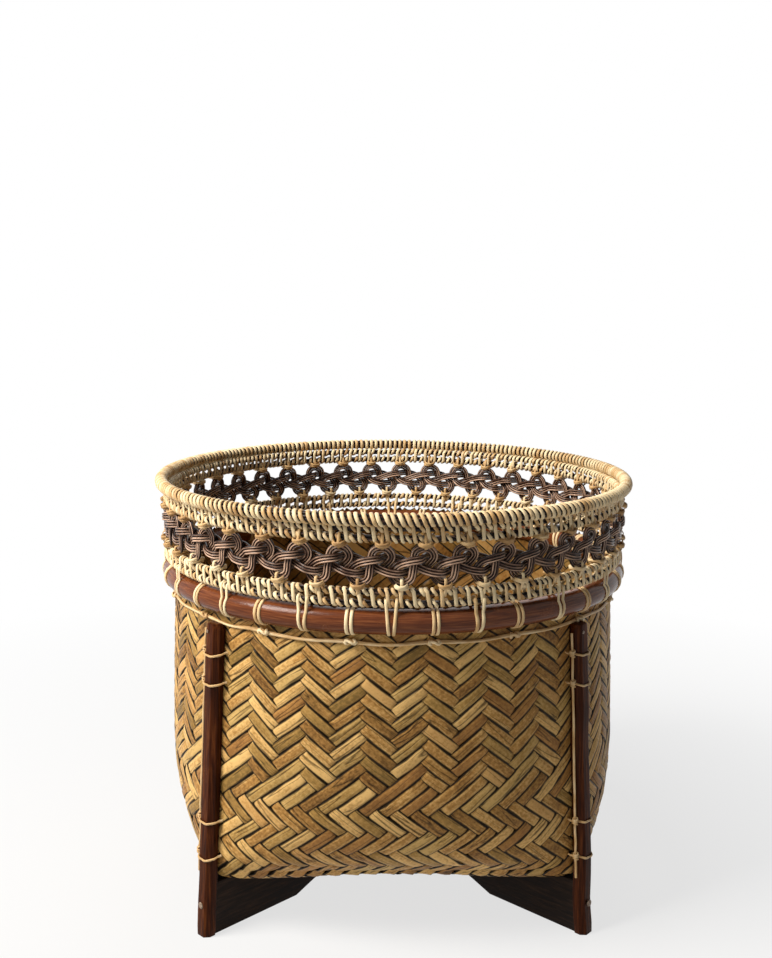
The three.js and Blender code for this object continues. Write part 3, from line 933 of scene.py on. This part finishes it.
def makeHoop(name, face, deep, node):
    deselect()
    bpy.ops.mesh.primitive_circle_add(vertices=hoopSet["profile"], radius=1, fill_type="NGON",
                                      location=(face, 0, hoopMiddle), rotation=(math.pi / 2, 0, 0))
    hoop = bpy.context.object
    hoop.name = name
    bpy.ops.object.transform_apply(location=False, rotation=True)
    hoop.scale = (abs(deep), 1, (hoopTop - hoopBottom) / 2)
    bpy.ops.object.transform_apply(location=True, scale=True)
    startEdit()
    bpy.ops.mesh.bisect(plane_co=(face, 0, hoopMiddle), plane_no=(math.copysign(1, deep), 0, 0),
                        clear_inner=True)
    selectAll()
    bpy.ops.mesh.delete(type="ONLY_FACE")
    selectAll()
    bpy.ops.mesh.spin(steps=hoopSet["steps"], angle=turn, center=(0, 0, 0), axis=(0, 0, 1))
    selectAll()
    bpy.ops.mesh.remove_doubles(threshold=0.01 * mm)
    bpy.ops.mesh.normals_make_consistent(inside=False)
    endEdit()
    shadeSmooth(40)
    settle(hoop, hoopLook, "hoop", node)


makeHoop("outerHoop", hoopFace, hoopCrown - hoopFace, "outer_hoop")
innerDeep = 6 * mm
makeHoop("innerHoop", innerFace, -innerDeep, "inner_hoop")
print("hoops made")


# Rim: a bundle of dark canes, closely bound with one long light cane
rimSet = {
    "turns": 248,
    "steps": 14,
    "wrapWide": 2.95 * mm,
    "wrapThick": 1.0 * mm,
    "wrapSlant": 0.9 * mm,
    "coreCanes": 7,
    "coreTwist": 5,
    "coreTone": 0.35,
    "tones": (0.4, 1.05),
    "shift": 0.07,
    "uneven": 0.06,
}
bundleSteps = 240


def layBundle(work, radius, height, tube, canes, twist, tone):
    # Canes side by side round a ring's middle, slowly twisted, in whole turns so that they close
    angle = np.arange(bundleSteps) * turn / bundleSteps
    cane = tube * math.sin(math.pi / canes) / (1 + math.sin(math.pi / canes))
    for k in range(canes):
        lean = k * turn / canes + twist * angle
        path = around(radius + (tube - cane) * np.cos(lean), angle, height + (tube - cane) * np.sin(lean))
        out = around(np.cos(lean), angle, np.sin(lean))
        work.sweep(path, out, roundSection(2 * cane, 2 * cane, 6), True, tone + chance.normal(0, 0.12))


def makeRim():
    turns, steps, thick = rimSet["turns"], rimSet["steps"], rimSet["wrapThick"]
    core = CaneWork()
    layBundle(core, rimRadius, rimHeight, rimTube - thick - 0.1 * mm, rimSet["coreCanes"],
              rimSet["coreTwist"], rimSet["coreTone"])
    settle(core.make("rimCore"), coreLook, "border", "rim")
    wrap = CaneWork()
    place = np.arange(turns * steps) / steps

    def perTurn(values):
        return np.interp(place, np.arange(turns + 1), values, period=turns)

    jitter = perTurn(chance.normal(0, rimSet["shift"], turns + 1))
    lean = -place * turn
    angle = (place + jitter) * turn / turns - rimSet["wrapSlant"] / rimRadius * np.sin(lean)
    reach = rimTube - thick / 2
    path = around(rimRadius + reach * np.cos(lean), angle, rimHeight + reach * np.sin(lean))
    out = around(np.cos(lean), angle, np.sin(lean))
    wide = rimSet["wrapWide"] * perTurn(chance.normal(1, rimSet["uneven"], turns + 1))
    section = splitShape * np.stack([wide, np.full_like(wide, thick)], 1)[:, None]
    wrap.sweep(path, out, section, True)
    tones = perTurn(chance.uniform(*rimSet["tones"], turns + 1))
    wrap.tones[0] = np.repeat(tones, len(splitShape))
    settle(wrap.make("rimWrap"), caneLook, "cane", "rim")


makeRim()
print("rim bound")


# Borders: two rings of dark canes each, with a long stitch over both and short ones between them
borderSet = {
    "stitches": 124,
    "coreCanes": 3,
    "wide": 2.75 * mm,
    "shortWide": 2.65 * mm,
    "thick": 0.9 * mm,
    "slant": 1.5 * mm,
    "coreTwists": (4, -5),
    "shortShare": 0.5,
    "coreTone": 0.4,
    "tones": (0.65, 1.25),
    "shortTones": (0.4, 1.15),
}


def stitchPath(rings, reach, angle, slant):
    # Once round one ring or both: down outside, where it slants, and up inside
    (topRadius, topHeight), (lowRadius, lowHeight) = rings[-1], rings[0]
    up = np.radians([180, 135, 90, 50, 15])
    down = np.radians([-15, -50, -90, -135, -180])
    radius = np.concatenate([topRadius + reach * np.cos(up), lowRadius + reach * np.cos(down)])
    height = np.concatenate([topHeight + reach * np.sin(up), lowHeight + reach * np.sin(down)])
    turnedBy = slant * np.array([0, -0.5, -1, -0.9, -0.4, 0.4, 0.9, 1, 0.5, 0]) / borderRings[0][0]
    lean = np.concatenate([up, down])
    return around(radius, angle + turnedBy, height), around(np.cos(lean), angle, np.sin(lean))


def makeBorder(name, lower, upper):
    rings = [borderRings[lower], borderRings[upper]]
    core, stitches = CaneWork(), CaneWork()
    thick = borderSet["thick"]
    for (radius, height, tube), twist in zip(rings, borderSet["coreTwists"]):
        layBundle(core, radius, height, tube - thick - 0.05 * mm, borderSet["coreCanes"], twist,
                  borderSet["coreTone"])
    reach = rings[0][2] - thick / 2
    centres = [ring[:2] for ring in rings]
    count = borderSet["stitches"]
    for k in range(count):
        angle = (k + chance.normal(0, 0.04)) * turn / count
        slant = borderSet["slant"] * chance.uniform(0.5, 1.5)
        tone = chance.uniform(*borderSet["tones"])
        path, out = stitchPath(centres, reach, angle, slant)
        section = splitSection(borderSet["wide"] * chance.uniform(0.9, 1.08), thick)
        stitches.sweep(path, out, section, True, tone)
        for ring in (0, 1):
            angle = (k + borderSet["shortShare"] + chance.normal(0, 0.05)) * turn / count
            path, out = stitchPath([centres[ring]], reach, angle, borderSet["slant"])
            section = splitSection(borderSet["shortWide"] * chance.uniform(0.85, 1.1), thick)
            stitches.sweep(path, out, section, True, chance.uniform(*borderSet["shortTones"]))
    nodes = [ringNames[lower], ringNames[upper]]
    settle(core.make(name + "Core"), coreLook, "border", *nodes)
    settle(stitches.make(name + "Stitches"), caneLook, "cane", *nodes)


makeBorder("lowerBorder", 0, 1)
makeBorder("upperBorder", 2, 3)
print("borders bound")


# Braid: two looped strands of three canes. The path of a strand over two cells, as cells along and
# shares of the half height: forward in a long wave, and back through a top loop and a bottom loop.
braidSet = {
    "cells": 40,
    "start": 0.53,
    "strandWide": 6.0 * mm,
    "bendReach": 1.06,
    "clearance": 0.3 * mm,
    "caneSize": 1.98 * mm,
    "caneGap": 2.04 * mm,
    "layer": 2.4 * mm,
    "steps": 5,
    "rounds": 500,
    "touching": 0.98,
    "ownReach": 3.5,
    "push": 0.4,
    "stiff": 0.45,
    "lateStiff": 0.1,
    "lateFrom": 0.85,
    "middleProud": 0.12 * mm,
    "tones": (0.29, 0.42, 0.55),
}
waveHalf = [(-0.75, -0.54), (-0.67, -0.13), (-0.45, 0.24), (-0.12, 0.41), (0.17, 0.43), (0.45, 0.28)]
loopHalf = [(2.15, 0.93), (1.97, 1), (1.8, 0.73)]
waveMiddle, loopMiddle = 0.75, 1.75


def turnedRound(half, middle):
    return [(2 * middle - along, -up) for along, up in reversed(half)]


motif = waveHalf + [(waveMiddle, 0)] + turnedRound(waveHalf, waveMiddle)
motif = motif + loopHalf + [(loopMiddle, 0)] + turnedRound(loopHalf, loopMiddle)
motifSize = len(motif)

# Crossings: where a strand lies over one that started some cells back, as places along the motif
crossings = [(16.5, 9.3, 0), (1.9, 5.3, 1), (16, 6, -1), (6.7, 10, 1), (7.7, 0.1, -2), (2.7, 15.4, 2),
             (11.9, 4.3, -2)]

braidLow = borderRings[1][1] + borderRings[1][2] + braidSet["clearance"]
braidHigh = borderRings[2][1] - borderRings[2][2] - braidSet["clearance"]
braidMiddle = (braidLow + braidHigh) / 2
braidRadius = borderRings[1][0] * (1 + math.cos(turn / (2 * braidSet["cells"]))) / 2
cellLength = turn / braidSet["cells"] * braidRadius
loopReach = (braidHigh - braidLow - braidSet["bendReach"] * braidSet["strandWide"]) / 2


def strandCurve():
    # The path of one lap, smooth, with its places along the motif
    lap = np.array([2 * cellLength, 0])
    points = np.array(motif) * [cellLength, loopReach]
    longer = np.vstack([points + k * lap for k in (-1, 0, 1)])
    smooth = smoothLoop(longer, braidSet["steps"], closed=False)
    first = motifSize * braidSet["steps"]
    return smooth[first:2 * first], np.arange(first) / braidSet["steps"]


def lapGap(a, b):
    lap = motifSize * round((a + b) / 2 / motifSize)
    return abs(a - lap) + abs(b - lap)


def liesOver(place, other, back):
    choices = []
    for over, under, crossingBack in crossings:
        if (crossingBack - back) % 2 == 0:
            shift = motifSize / 2 * crossingBack
            choices.append((lapGap(place - over, other - under + shift), True))
            choices.append((lapGap(other - over - shift, place - under), False))
    return min(choices)[1]


def settledDepths(curve, places):
    # Pushes the upper places out and the lower ones in until the strands clear each other
    upper, lower = [], []
    for back in range(-3, 4):
        other = curve - [back * cellLength, 0]
        gaps = np.linalg.norm(curve[:, None] - other[None], axis=2)
        apart = np.abs(places[:, None] - places[None] + back * motifSize / 2)
        near = gaps < braidSet["strandWide"] * braidSet["touching"]
        if back % 2 == 0:
            near &= apart > braidSet["ownReach"]
        for i, k in zip(*np.nonzero(near)):
            above = liesOver(places[i], places[k] - back * motifSize / 2, back)
            upper.append(i if above else k)
            lower.append(k if above else i)
    depths = np.zeros(len(curve))
    rounds = braidSet["rounds"]
    for step in range(rounds):
        lack = np.clip(braidSet["layer"] - depths[upper] + depths[lower], 0, None)
        push = np.zeros(len(curve))
        share = np.zeros(len(curve))
        for index, sign in ((upper, 1), (lower, -1)):
            np.add.at(push, index, sign * lack)
            np.add.at(share, index, lack > 0)
        depths += braidSet["push"] * push / np.maximum(share, 1)
        smooth = braidSet["stiff" if step < rounds * braidSet["lateFrom"] else "lateStiff"]
        depths += smooth * ((np.roll(depths, 1) + np.roll(depths, -1)) / 2 - depths)
    return depths - (depths.max() + depths.min()) / 2


def makeBraid():
    curve, places = strandCurve()
    depths = settledDepths(curve, places)
    ahead = np.roll(curve, -1, 0) - np.roll(curve, 1, 0)
    ahead[[0, -1]] += [2 * cellLength, 0]
    ahead = unit(ahead)
    aside = np.stack([ahead[:, 1], -ahead[:, 0]], 1)
    laps = braidSet["cells"] // 2
    for label, start in (("A", braidSet["start"]), ("B", braidSet["start"] + 1)):
        work = CaneWork()
        for cane, tone in zip((-1, 0, 1), braidSet["tones"]):
            flat = curve + cane * braidSet["caneGap"] * aside
            proud = 0 if cane else braidSet["middleProud"]
            rows = []
            for lap in range(laps):
                angle = (flat[:, 0] / cellLength + 2 * lap + start) * turn / braidSet["cells"]
                rows.append(around(braidRadius + depths + proud, angle, braidMiddle + flat[:, 1]))
            path = np.concatenate(rows)
            size = braidSet["caneSize"]
            work.sweep(path, unit(path * [1, 1, 0]), roundSection(size, size * 1.1), True, tone)
        settle(work.make("braidStrand" + label), braidLook, "braid", "braid_strand_" + label.lower())
    return depths


braidDepths = makeBraid()
print("braid laid", round(float(np.ptp(braidDepths)) * 1000, 2), "mm deep")


# Ties: a light cane binds each top loop to the ring above it and each bottom loop to the ring below
tieSet = {
    "count": 40,
    "upperTurn": 5.04,
    "stemWide": 2.3 * mm,
    "stemThick": 0.8 * mm,
    "barWide": 10 * mm,
    "barTall": 2.2 * mm,
    "barDeep": 2.2 * mm,
    "barCross": 0.09,
    "barSag": 1.1 * mm,
    "upperReach": 3.2 * mm,
    "lowerReach": 6.2 * mm,
    "stemProud": 1.3 * mm,
    "bend": (1.6 * mm, 1.2 * mm),
    # The upper ties take darker tones than the lower ones, as painted shade under the upper border
    "upperShadedTones": (0.25, 0.7),
    "lowerTones": (0.4, 0.95),
}


def layTie(work, angle, ring, towards, reach, tone):
    radius, height, tube = ring
    thick = tieSet["stemThick"]
    angle = angle + chance.normal(0, 0.12) * turn / 360
    edge = height + towards * (tube + 0.2 * mm)
    far = edge + towards * reach
    out = tube + tieSet["stemProud"]
    bendIn, bendDown = tieSet["bend"]
    shoulder = far - towards * bendDown
    loop = [(out, edge), (out, shoulder), (out - bendIn, far), (-out + bendIn, far), (-out, shoulder),
            (-out, edge), (-tube, height), (-tube * 0.5, height - towards * tube),
            (tube * 0.5, height - towards * tube), (tube, height)]
    path = smoothLoop([(radius + x, z) for x, z in loop], 2)
    away = unit(path - [radius, (edge + far) / 2])
    work.sweep(around(path[:, 0], angle, path[:, 1]), around(away[:, 0], angle, away[:, 1]),
               splitSection(tieSet["stemWide"], thick), True, tone)
    # The bar: two turns that cross round the neck of the tie
    lean = np.arange(14) * turn / 14
    sideways = np.array([-math.sin(angle), math.cos(angle), 0])
    for turnNumber, crossing in enumerate((-1, 1)):
        wide = tieSet["barWide"] * chance.uniform(0.8, 1.05) / 2
        deep = out + tieSet["barDeep"] / 2 + turnNumber * 0.5 * thick
        share = np.sign(np.cos(lean)) * np.abs(np.cos(lean)) ** 0.6
        depth = deep * np.sign(np.sin(lean)) * np.abs(np.sin(lean)) ** 0.7
        tilt = crossing * tieSet["barCross"] + chance.normal(0, 0.05)
        bend = tieSet["barSag"] * share ** 2 + crossing * 0.6 * mm
        path = around(radius + depth, angle + wide * share / radius,
                      edge + tilt * wide * share + bend + towards * 0.5 * mm)
        away = around(np.sin(lean), angle, 0) + np.cos(lean)[:, None] * sideways
        work.sweep(path, away, splitSection(tieSet["barTall"], thick), True, tone + chance.normal(0, 0.08))


def makeTies():
    upper, lower = CaneWork(), CaneWork()
    for k in range(tieSet["count"]):
        front = k * turn / tieSet["count"] - turn / 4
        layTie(upper, front + math.radians(tieSet["upperTurn"]), borderRings[2], -1,
               tieSet["upperReach"], chance.uniform(*tieSet["upperShadedTones"]))
        layTie(lower, front, borderRings[1], 1, tieSet["lowerReach"], chance.uniform(*tieSet["lowerTones"]))
    settle(upper.make("upperTies"), caneLook, "cane")
    settle(lower.make("lowerTies"), caneLook, "cane")


makeTies()
print("ties bound")


# Lashings: two turns over both hoops at each, and every second one takes in the lowest border ring
lashingSet = {
    "count": 18,
    "wide": 2.5 * mm,
    "thick": 0.9 * mm,
    "spread": 1.75 * mm,
    "longSpread": 3.4 * mm,
    "longFoot": 1.5 * mm,
    "cordDrop": 6 * mm,
    "cordSize": 2.1 * mm,
    "start": -2.0,
    "clear": 0.15 * mm,
    "knotWide": 2.2 * mm,
    "endWide": 1.9 * mm,
    "rough": 0.35 * mm,
    "tones": (0.55, 1),
    "knotTones": (0.5, 0.95),
    "cords": ((2.1 * mm, 0.9 * mm, 0, 0.6), (1.2 * mm, 1.6 * mm, 1.4 * mm, 0.35)),
}
cordHeight = hoopBottom - lashingSet["cordDrop"]
loopSteps = 12


def lashingLoop(long):
    # Once round both hoops and the wall, seen in the plane of the radius
    half = lashingSet["thick"] / 2 + lashingSet["clear"]
    tall, deep = (hoopTop - hoopBottom) / 2, hoopCrown - hoopFace

    def arc(radius, height, wide, high, degrees):
        return [(radius + wide * math.cos(a), height + high * math.sin(a)) for a in np.radians(degrees)]

    outer = arc(hoopFace, hoopMiddle, deep + half, tall + half, np.arange(-80, 41 if long else 81, 20))
    inner = arc(innerFace, hoopMiddle, -innerDeep - half, tall + half, np.arange(80, -81, -20))
    over = [(bodyRadius - 1.2 * mm, hoopTop + half + 0.3 * mm)]
    if long:
        radius, height, tube = borderRings[0]
        over = arc(radius, height, tube + half, tube + half, [-20, 30, 90, 150, 200])
    path = np.array(outer + over + inner)
    return path, unit(path - [bodyRadius, hoopMiddle])


def layLashing(work, angle, long):
    path, away = lashingLoop(long)
    height = path[:, 1]
    share = np.clip((height - hoopBottom) / (height.max() - hoopBottom), 0, 1)
    top = lashingSet["longSpread" if long else "spread"]
    foot = lashingSet["longFoot" if long else "spread"]
    for side in (-1, 1):
        apart = side * (foot + (top - foot) * share) * chance.uniform(0.85, 1.15)
        wide = lashingSet["wide"] * chance.uniform(0.9, 1.05)
        turnBy = angle + apart / path[:, 0]
        work.sweep(around(path[:, 0], turnBy, height), around(away[:, 0], turnBy, away[:, 1]),
                   splitSection(wide, lashingSet["thick"]), True, chance.uniform(*lashingSet["tones"]))


def layLoopRound(work, centre, across, up, wide, tall, section, tone, lean):
    # A small closed loop of cane in the plane of two directions, with its sides leaned out of it
    angle = np.arange(loopSteps) * turn / loopSteps
    side = np.cos(angle)[:, None] * across * wide / 2
    away = np.sin(angle)[:, None] * up * tall / 2
    tip = np.cross(across, up) * (lean * np.cos(angle))[:, None]
    work.sweep(centre + side + away + tip, unit(side + away), section, True, tone)


def layKnot(work, angle, radius, height, size):
    # The lashing's end goes round the running cord on both sides and is pulled tight
    out = around(1.0, angle, 0.0)
    along = np.array([-math.sin(angle), math.cos(angle), 0])
    up = np.array([0, 0, 1.0])
    section = splitSection(lashingSet["knotWide"], lashingSet["thick"])
    tone = chance.uniform(*lashingSet["knotTones"])
    for side, lean in ((-1, 1.0), (1, -1.0)):
        centre = out * (radius + 0.2 * mm) + along * side * 2.6 * mm + up * height
        layLoopRound(work, centre, out, up, size + 1.6 * mm, size + 1.9 * mm, section, tone, lean * mm)
    ends = [(-4.6, -1.0, 1.0), (-2.2, 1.0, 2.2), (0.4, 0.4, 3.2), (2.6, -0.8, 2.6), (4.8, 0.6, 1.0)]
    path = [out * (radius + o * mm) + along * a * mm + up * (height + h * mm) for a, h, o in ends]
    section = splitSection(lashingSet["endWide"], 1.0 * mm)
    work.sweep(smoothLoop(path, 3, closed=False), out, section, False, tone)


def makeLashings():
    work, cords = CaneWork(), CaneWork()
    count = lashingSet["count"]
    radius = hoopFace + 1.1 * mm
    knots = []
    for k in range(count):
        angle = k * turn / count - turn / 4 + math.radians(lashingSet["start"] + chance.normal(0, 0.4))
        layLashing(work, angle, True)
        angle = angle + math.radians(180 / count + chance.normal(0, 0.35))
        layLashing(work, angle, False)
        layKnot(work, angle, radius, cordHeight, lashingSet["cordSize"])
        knots.append(angle)
    # The running cord hangs a little between its knots; a second, thinner one lies along it
    angle = np.arange(360) * turn / 360
    hang = (1 - np.cos((angle - knots[0]) * count)) / 2
    rough = np.interp(angle, np.linspace(0, turn, 61), chance.normal(0, lashingSet["rough"], 61), period=turn)
    for size, drop, lift, tone in lashingSet["cords"]:
        path = around(radius + 0.2 * rough, angle, cordHeight - drop * hang + rough + lift - 0.3 * mm)
        cords.sweep(path, unit(path * [1, 1, 0]), roundSection(size, size * 0.85, 7), True, tone)
    settle(work.make("hoopLashings"), caneLook, "cane", "lashing_cane")
    settle(cords.make("runningCord"), caneLook, "cane", "lashing_cane")


makeLashings()
print("lashings bound")


# Poles and boards: the frame's own shapes with worn, rounded edges
woodSet = {
    "poleEdge": 2.0 * mm,
    "boardEdge": 0.8 * mm,
    "bevels": 4,
    "poleRings": 26,
    "waver": 0.35 * mm,
    "waves": 12,
    "steadyFoot": 30 * mm,
}


def roundedCopy(nodeName, name, edge, rings=0):
    piece = addObject(name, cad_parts[nodeName].data.copy())
    pick(piece)
    startEdit()
    bpy.ops.mesh.remove_doubles(threshold=0.01 * mm)
    bpy.ops.mesh.dissolve_limited(angle_limit=math.radians(1.5))
    endEdit()
    bevel = piece.modifiers.new("edges", "BEVEL")
    bevel.width = edge
    bevel.segments = woodSet["bevels"]
    bevel.limit_method = "ANGLE"
    bevel.angle_limit = math.radians(20)
    bpy.ops.object.modifier_apply(modifier="edges")
    if rings:
        startEdit()
        for k in range(1, rings):
            selectAll()
            bpy.ops.mesh.bisect(plane_co=(0, 0, poleTop * k / rings), plane_no=(0, 0, 1))
        endEdit()
        heights = np.linspace(0, poleTop, woodSet["waves"])
        shifts = chance.normal(0, woodSet["waver"], (2, woodSet["waves"]))
        for vertex in piece.data.vertices:
            fade = min(1.0, vertex.co.z / woodSet["steadyFoot"])
            vertex.co.x += fade * float(np.interp(vertex.co.z, heights, shifts[0]))
            vertex.co.y += fade * float(np.interp(vertex.co.z, heights, shifts[1]))
    shadeSmooth(35)
    return piece


for corner in corners:
    node = corner + "_pole"
    pole = roundedCopy(node, "pole" + cornerLabel(corner), woodSet["poleEdge"], woodSet["poleRings"])
    settle(pole, poleLook, "pole", node)
for level in ("lower", "upper"):
    node = "base_board_" + level
    settle(roundedCopy(node, "board" + level.title(), woodSet["boardEdge"]), boardLook, "board", node)
print("poles and boards rounded")


# Nails: one shape with a shallow domed head, copied to each place
nailSet = {
    "head": 2.6 * mm,
    "thick": 0.9 * mm,
    "shank": 1.3 * mm,
    "long": 20 * mm,
    "footHeight": 25 * mm,
    "topSize": 0.5,
    "topDrop": 6 * mm,
    "topAside": -2.2 * mm,
    "proud": 0.25 * mm,
    "dome": ((0.86, 0.25), (0.66, 0.1), (0.3, 0.05)),
}
poleDeep = 9 * mm


def modelNail():
    deselect()
    bpy.ops.mesh.primitive_cylinder_add(vertices=16, radius=nailSet["shank"], depth=nailSet["long"],
                                        location=(0, 0, -nailSet["long"] / 2))
    nail = bpy.context.object
    bpy.ops.object.transform_apply(location=True)
    bpy.ops.object.mode_set(mode="EDIT")
    bpy.ops.mesh.select_mode(type="FACE")
    bpy.ops.mesh.select_all(action="DESELECT")
    endEdit()
    for face in nail.data.polygons:
        face.select = face.normal.z > 0.9
    bpy.ops.object.mode_set(mode="EDIT")
    wide = nailSet["head"] / nailSet["shank"]
    bpy.ops.mesh.extrude_region_move()
    bpy.ops.transform.resize(value=(wide, wide, 1))
    bpy.ops.mesh.extrude_region_move(TRANSFORM_OT_translate={"value": (0, 0, nailSet["thick"] * 0.6)})
    for shrink, rise in nailSet["dome"]:
        bpy.ops.mesh.extrude_region_move(TRANSFORM_OT_translate={"value": (0, 0, nailSet["thick"] * rise)})
        bpy.ops.transform.resize(value=(shrink, shrink, 1))
    endEdit()
    shadeSmooth(50)
    return nail


def placeNail(nail, name, angle, height, size, aside):
    copy = addObject(name, nail.data.copy())
    reach = poleFaceAt(height) + poleDeep + nailSet["proud"]
    place = Matrix.Rotation(angle, 4, "Z") @ Matrix.Translation((reach, aside, height))
    copy.data.transform(place @ Matrix.Rotation(math.pi / 2, 4, "Y") @ Matrix.Scale(size, 4))
    return copy


def makeNails():
    nail = modelNail()
    topHeight = poleTop - nailSet["topDrop"]
    for corner, degrees in corners.items():
        angle, label = math.radians(degrees), cornerLabel(corner)
        foot = placeNail(nail, "nailFoot" + label, angle, nailSet["footHeight"], 1.0, 0.0)
        settle(foot, nailLook, "nail", corner + "_foot_nail")
        top = placeNail(nail, "nailTop" + label, angle, topHeight, nailSet["topSize"], nailSet["topAside"])
        settle(top, nailLook, "nail")
    bpy.data.objects.remove(nail)


makeNails()
print("nails driven")


# Cords on the poles: one cane down the side, with four turns round the pole, each knotted to it
poleCordSet = {
    "foot": 48 * mm,
    "topDrop": 6 * mm,
    "sideOut": 10.2 * mm,
    "cordLift": 4.2 * mm,
    "cord": 1.9 * mm,
    "turnThick": 1.4 * mm,
    "turnTall": 1.8 * mm,
    "lowTurns": (65 * mm, 93 * mm),
    "topDrops": (45 * mm, 22 * mm),
    "sag": 2.0 * mm,
    "poleHalf": 7.5 * mm,
    "poleSide": 5 * mm,
    "frontHalf": 4 * mm,
    "waves": 22,
    "waver": 0.25 * mm,
    "tones": (0.35, 0.6),
    "knotDrops": (-1.7 * mm, 0.2 * mm, 2.1 * mm),
}


def layPoleCords(work, degrees):
    angle = math.radians(degrees)
    out = np.array([math.cos(angle), math.sin(angle), 0])
    along = np.array([math.sin(angle), -math.cos(angle), 0])
    up = np.array([0, 0, 1.0])
    cord = poleCordSet

    def place(x, y, z, rise=0.0):
        return along * x + out * (poleFaceAt(z) + y) + up * (z + rise)

    heights = np.linspace(cord["foot"], poleTop - cord["topDrop"], cord["waves"])
    waver = chance.normal(0, cord["waver"], (2, cord["waves"]))
    path = [place(cord["sideOut"] + waver[0][k] * 0.5, cord["cordLift"] + abs(waver[1][k]), z)
            for k, z in enumerate(heights)]
    tone = chance.uniform(*cord["tones"])
    work.sweep(smoothLoop(path, 2, closed=False), out, roundSection(cord["cord"], cord["cord"]), False, tone)
    turns = [*cord["lowTurns"], *(poleTop - drop for drop in cord["topDrops"])]
    for height in turns:
        half = cord["turnThick"] / 2 + 0.1 * mm
        sag = cord["sag"] * chance.uniform(0.6, 1.4)
        side, front = cord["poleHalf"] + half, cord["frontHalf"] + 0.6 * mm
        shoulder, face = cord["poleSide"] - 0.4 * mm, poleDeep + half
        shape = [
            (cord["sideOut"] + 1.6 * mm, -1.0 * mm, 0.9 * mm),
            (cord["sideOut"] + 1.7 * mm, 2.2 * mm, 0.6 * mm),
            (side, shoulder, -0.1 * mm),
            (front, face, -0.7 * sag),
            (0, face, -sag),
            (-front, face, -0.9 * sag),
            (-side, shoulder, -0.5 * sag),
            (-side - 0.4 * mm, 1.5 * mm, -0.2 * sag),
            (-side - 1.8 * mm, -1.2 * mm, 0.4 * mm),
        ]
        path = [place(x, y, height, z) for x, y, z in shape]
        work.sweep(smoothLoop(path, 3, closed=False), out + 0.01 * up,
                   roundSection(cord["turnTall"], cord["turnThick"]), False, tone)
        # The knot beside the pole: three turns round the side cord and a short crossing end
        centre = place(cord["sideOut"], cord["cordLift"] + 0.3 * mm, height)
        section = roundSection(1.5 * mm, 1.3 * mm, 6)
        for k, drop in enumerate(cord["knotDrops"]):
            layLoopRound(work, centre + up * drop, along, out, 3.3 * mm, 3.5 * mm, section,
                         tone + 0.05 * k, 0.7 * mm * (1 - k))
        ends = [place(cord["sideOut"] - 1.4 * mm, 4.4 * mm, height - 2.4 * mm),
                place(cord["sideOut"] + 0.5 * mm, 5.6 * mm, height + 0.2 * mm),
                place(cord["sideOut"] + 1.8 * mm, 4.0 * mm, height + 2.8 * mm)]
        work.sweep(smoothLoop(ends, 3, closed=False), out, section, False, tone)


for corner, degrees in corners.items():
    poleCords = CaneWork()
    layPoleCords(poleCords, degrees)
    settle(poleCords.make("poleCord" + cornerLabel(corner)), caneLook, "cane", corner + "_pole_lashing")
print("pole cords tied")


# Floor and lights
stageSet = {
    "floorSize": 12.0,
    "floorColor": (0.62, 0.62, 0.62, 1),
    "floorLook": {"roughness": 0.9, "specular": 0.1},
    "aim": (0, 0, 0.17),
    "clear": (0.25, 0.9),
    "nearWhite": 0.72,
    "world": 0.065,
    "lamps": {
        "key": ((-1.33, -0.56, 1.58), 0.85, 65.0, (1.0, 0.965, 0.91)),
        "fill": ((1.5, -1.3, 0.8), 1.4, 0.5, (1.0, 0.94, 0.86)),
        "back": ((0.3, 1.4, 1.5), 1.2, 8.0, (1.0, 1.0, 1.0)),
    },
}


def seenDirectly(shader):
    # Camera, mirror and glass rays see the white surroundings
    light = shader.add("LightPath").outputs
    seen = shader.math("MAXIMUM", light["Is Camera Ray"], light["Is Glossy Ray"])
    return shader.math("MAXIMUM", seen, light["Is Transmission Ray"])


def makeFloor():
    deselect()
    bpy.ops.mesh.primitive_plane_add(size=stageSet["floorSize"], location=(0, 0, 0))
    floor = bpy.context.object
    floor.name = "floor"
    material, shader, surface = newMaterial("paleFloor", stageSet["floorLook"])
    surface.inputs["Base Color"].default_value = stageSet["floorColor"]
    reach = shader.add("VectorMath", {0: objectPlace(shader)}, operation="LENGTH").outputs["Value"]
    far = shader.spread(reach, *stageSet["clear"], stageSet["nearWhite"], 1.0)
    white = shader.add("Emission", {"Color": (1, 1, 1, 1), "Strength": 1.0}).outputs[0]
    share = shader.math("MULTIPLY", far, seenDirectly(shader))
    blend = shader.add("MixShader", {0: share, 1: surface.outputs[0], 2: white})
    shader.feed(material.node_tree.nodes["Material Output"].inputs["Surface"], blend.outputs[0])
    floor.data.materials.append(material)


def makeLight():
    world = bpy.data.worlds.new("studio")
    bpy.context.scene.world = world
    world.use_nodes = True
    shader = Shader(world.node_tree)
    background = world.node_tree.nodes["Background"]
    background.inputs["Color"].default_value = (1, 1, 1, 1)
    strength = shader.spread(seenDirectly(shader), 0.0, 1.0, stageSet["world"], 1.0)
    shader.feed(background.inputs["Strength"], strength)
    for name, (place, size, power, color) in stageSet["lamps"].items():
        data = bpy.data.lights.new(name, "AREA")
        data.size = size
        data.energy = power
        data.color = color
        lamp = addObject(name, data)
        lamp.location = place
        aim = Vector(stageSet["aim"]) - lamp.location
        lamp.rotation_euler = aim.to_track_quat("-Z", "Y").to_euler()


makeFloor()
makeLight()
bpy.context.scene.view_settings.view_transform = "Standard"
print("stage lit")

deselect()
bpy.context.view_layer.update()
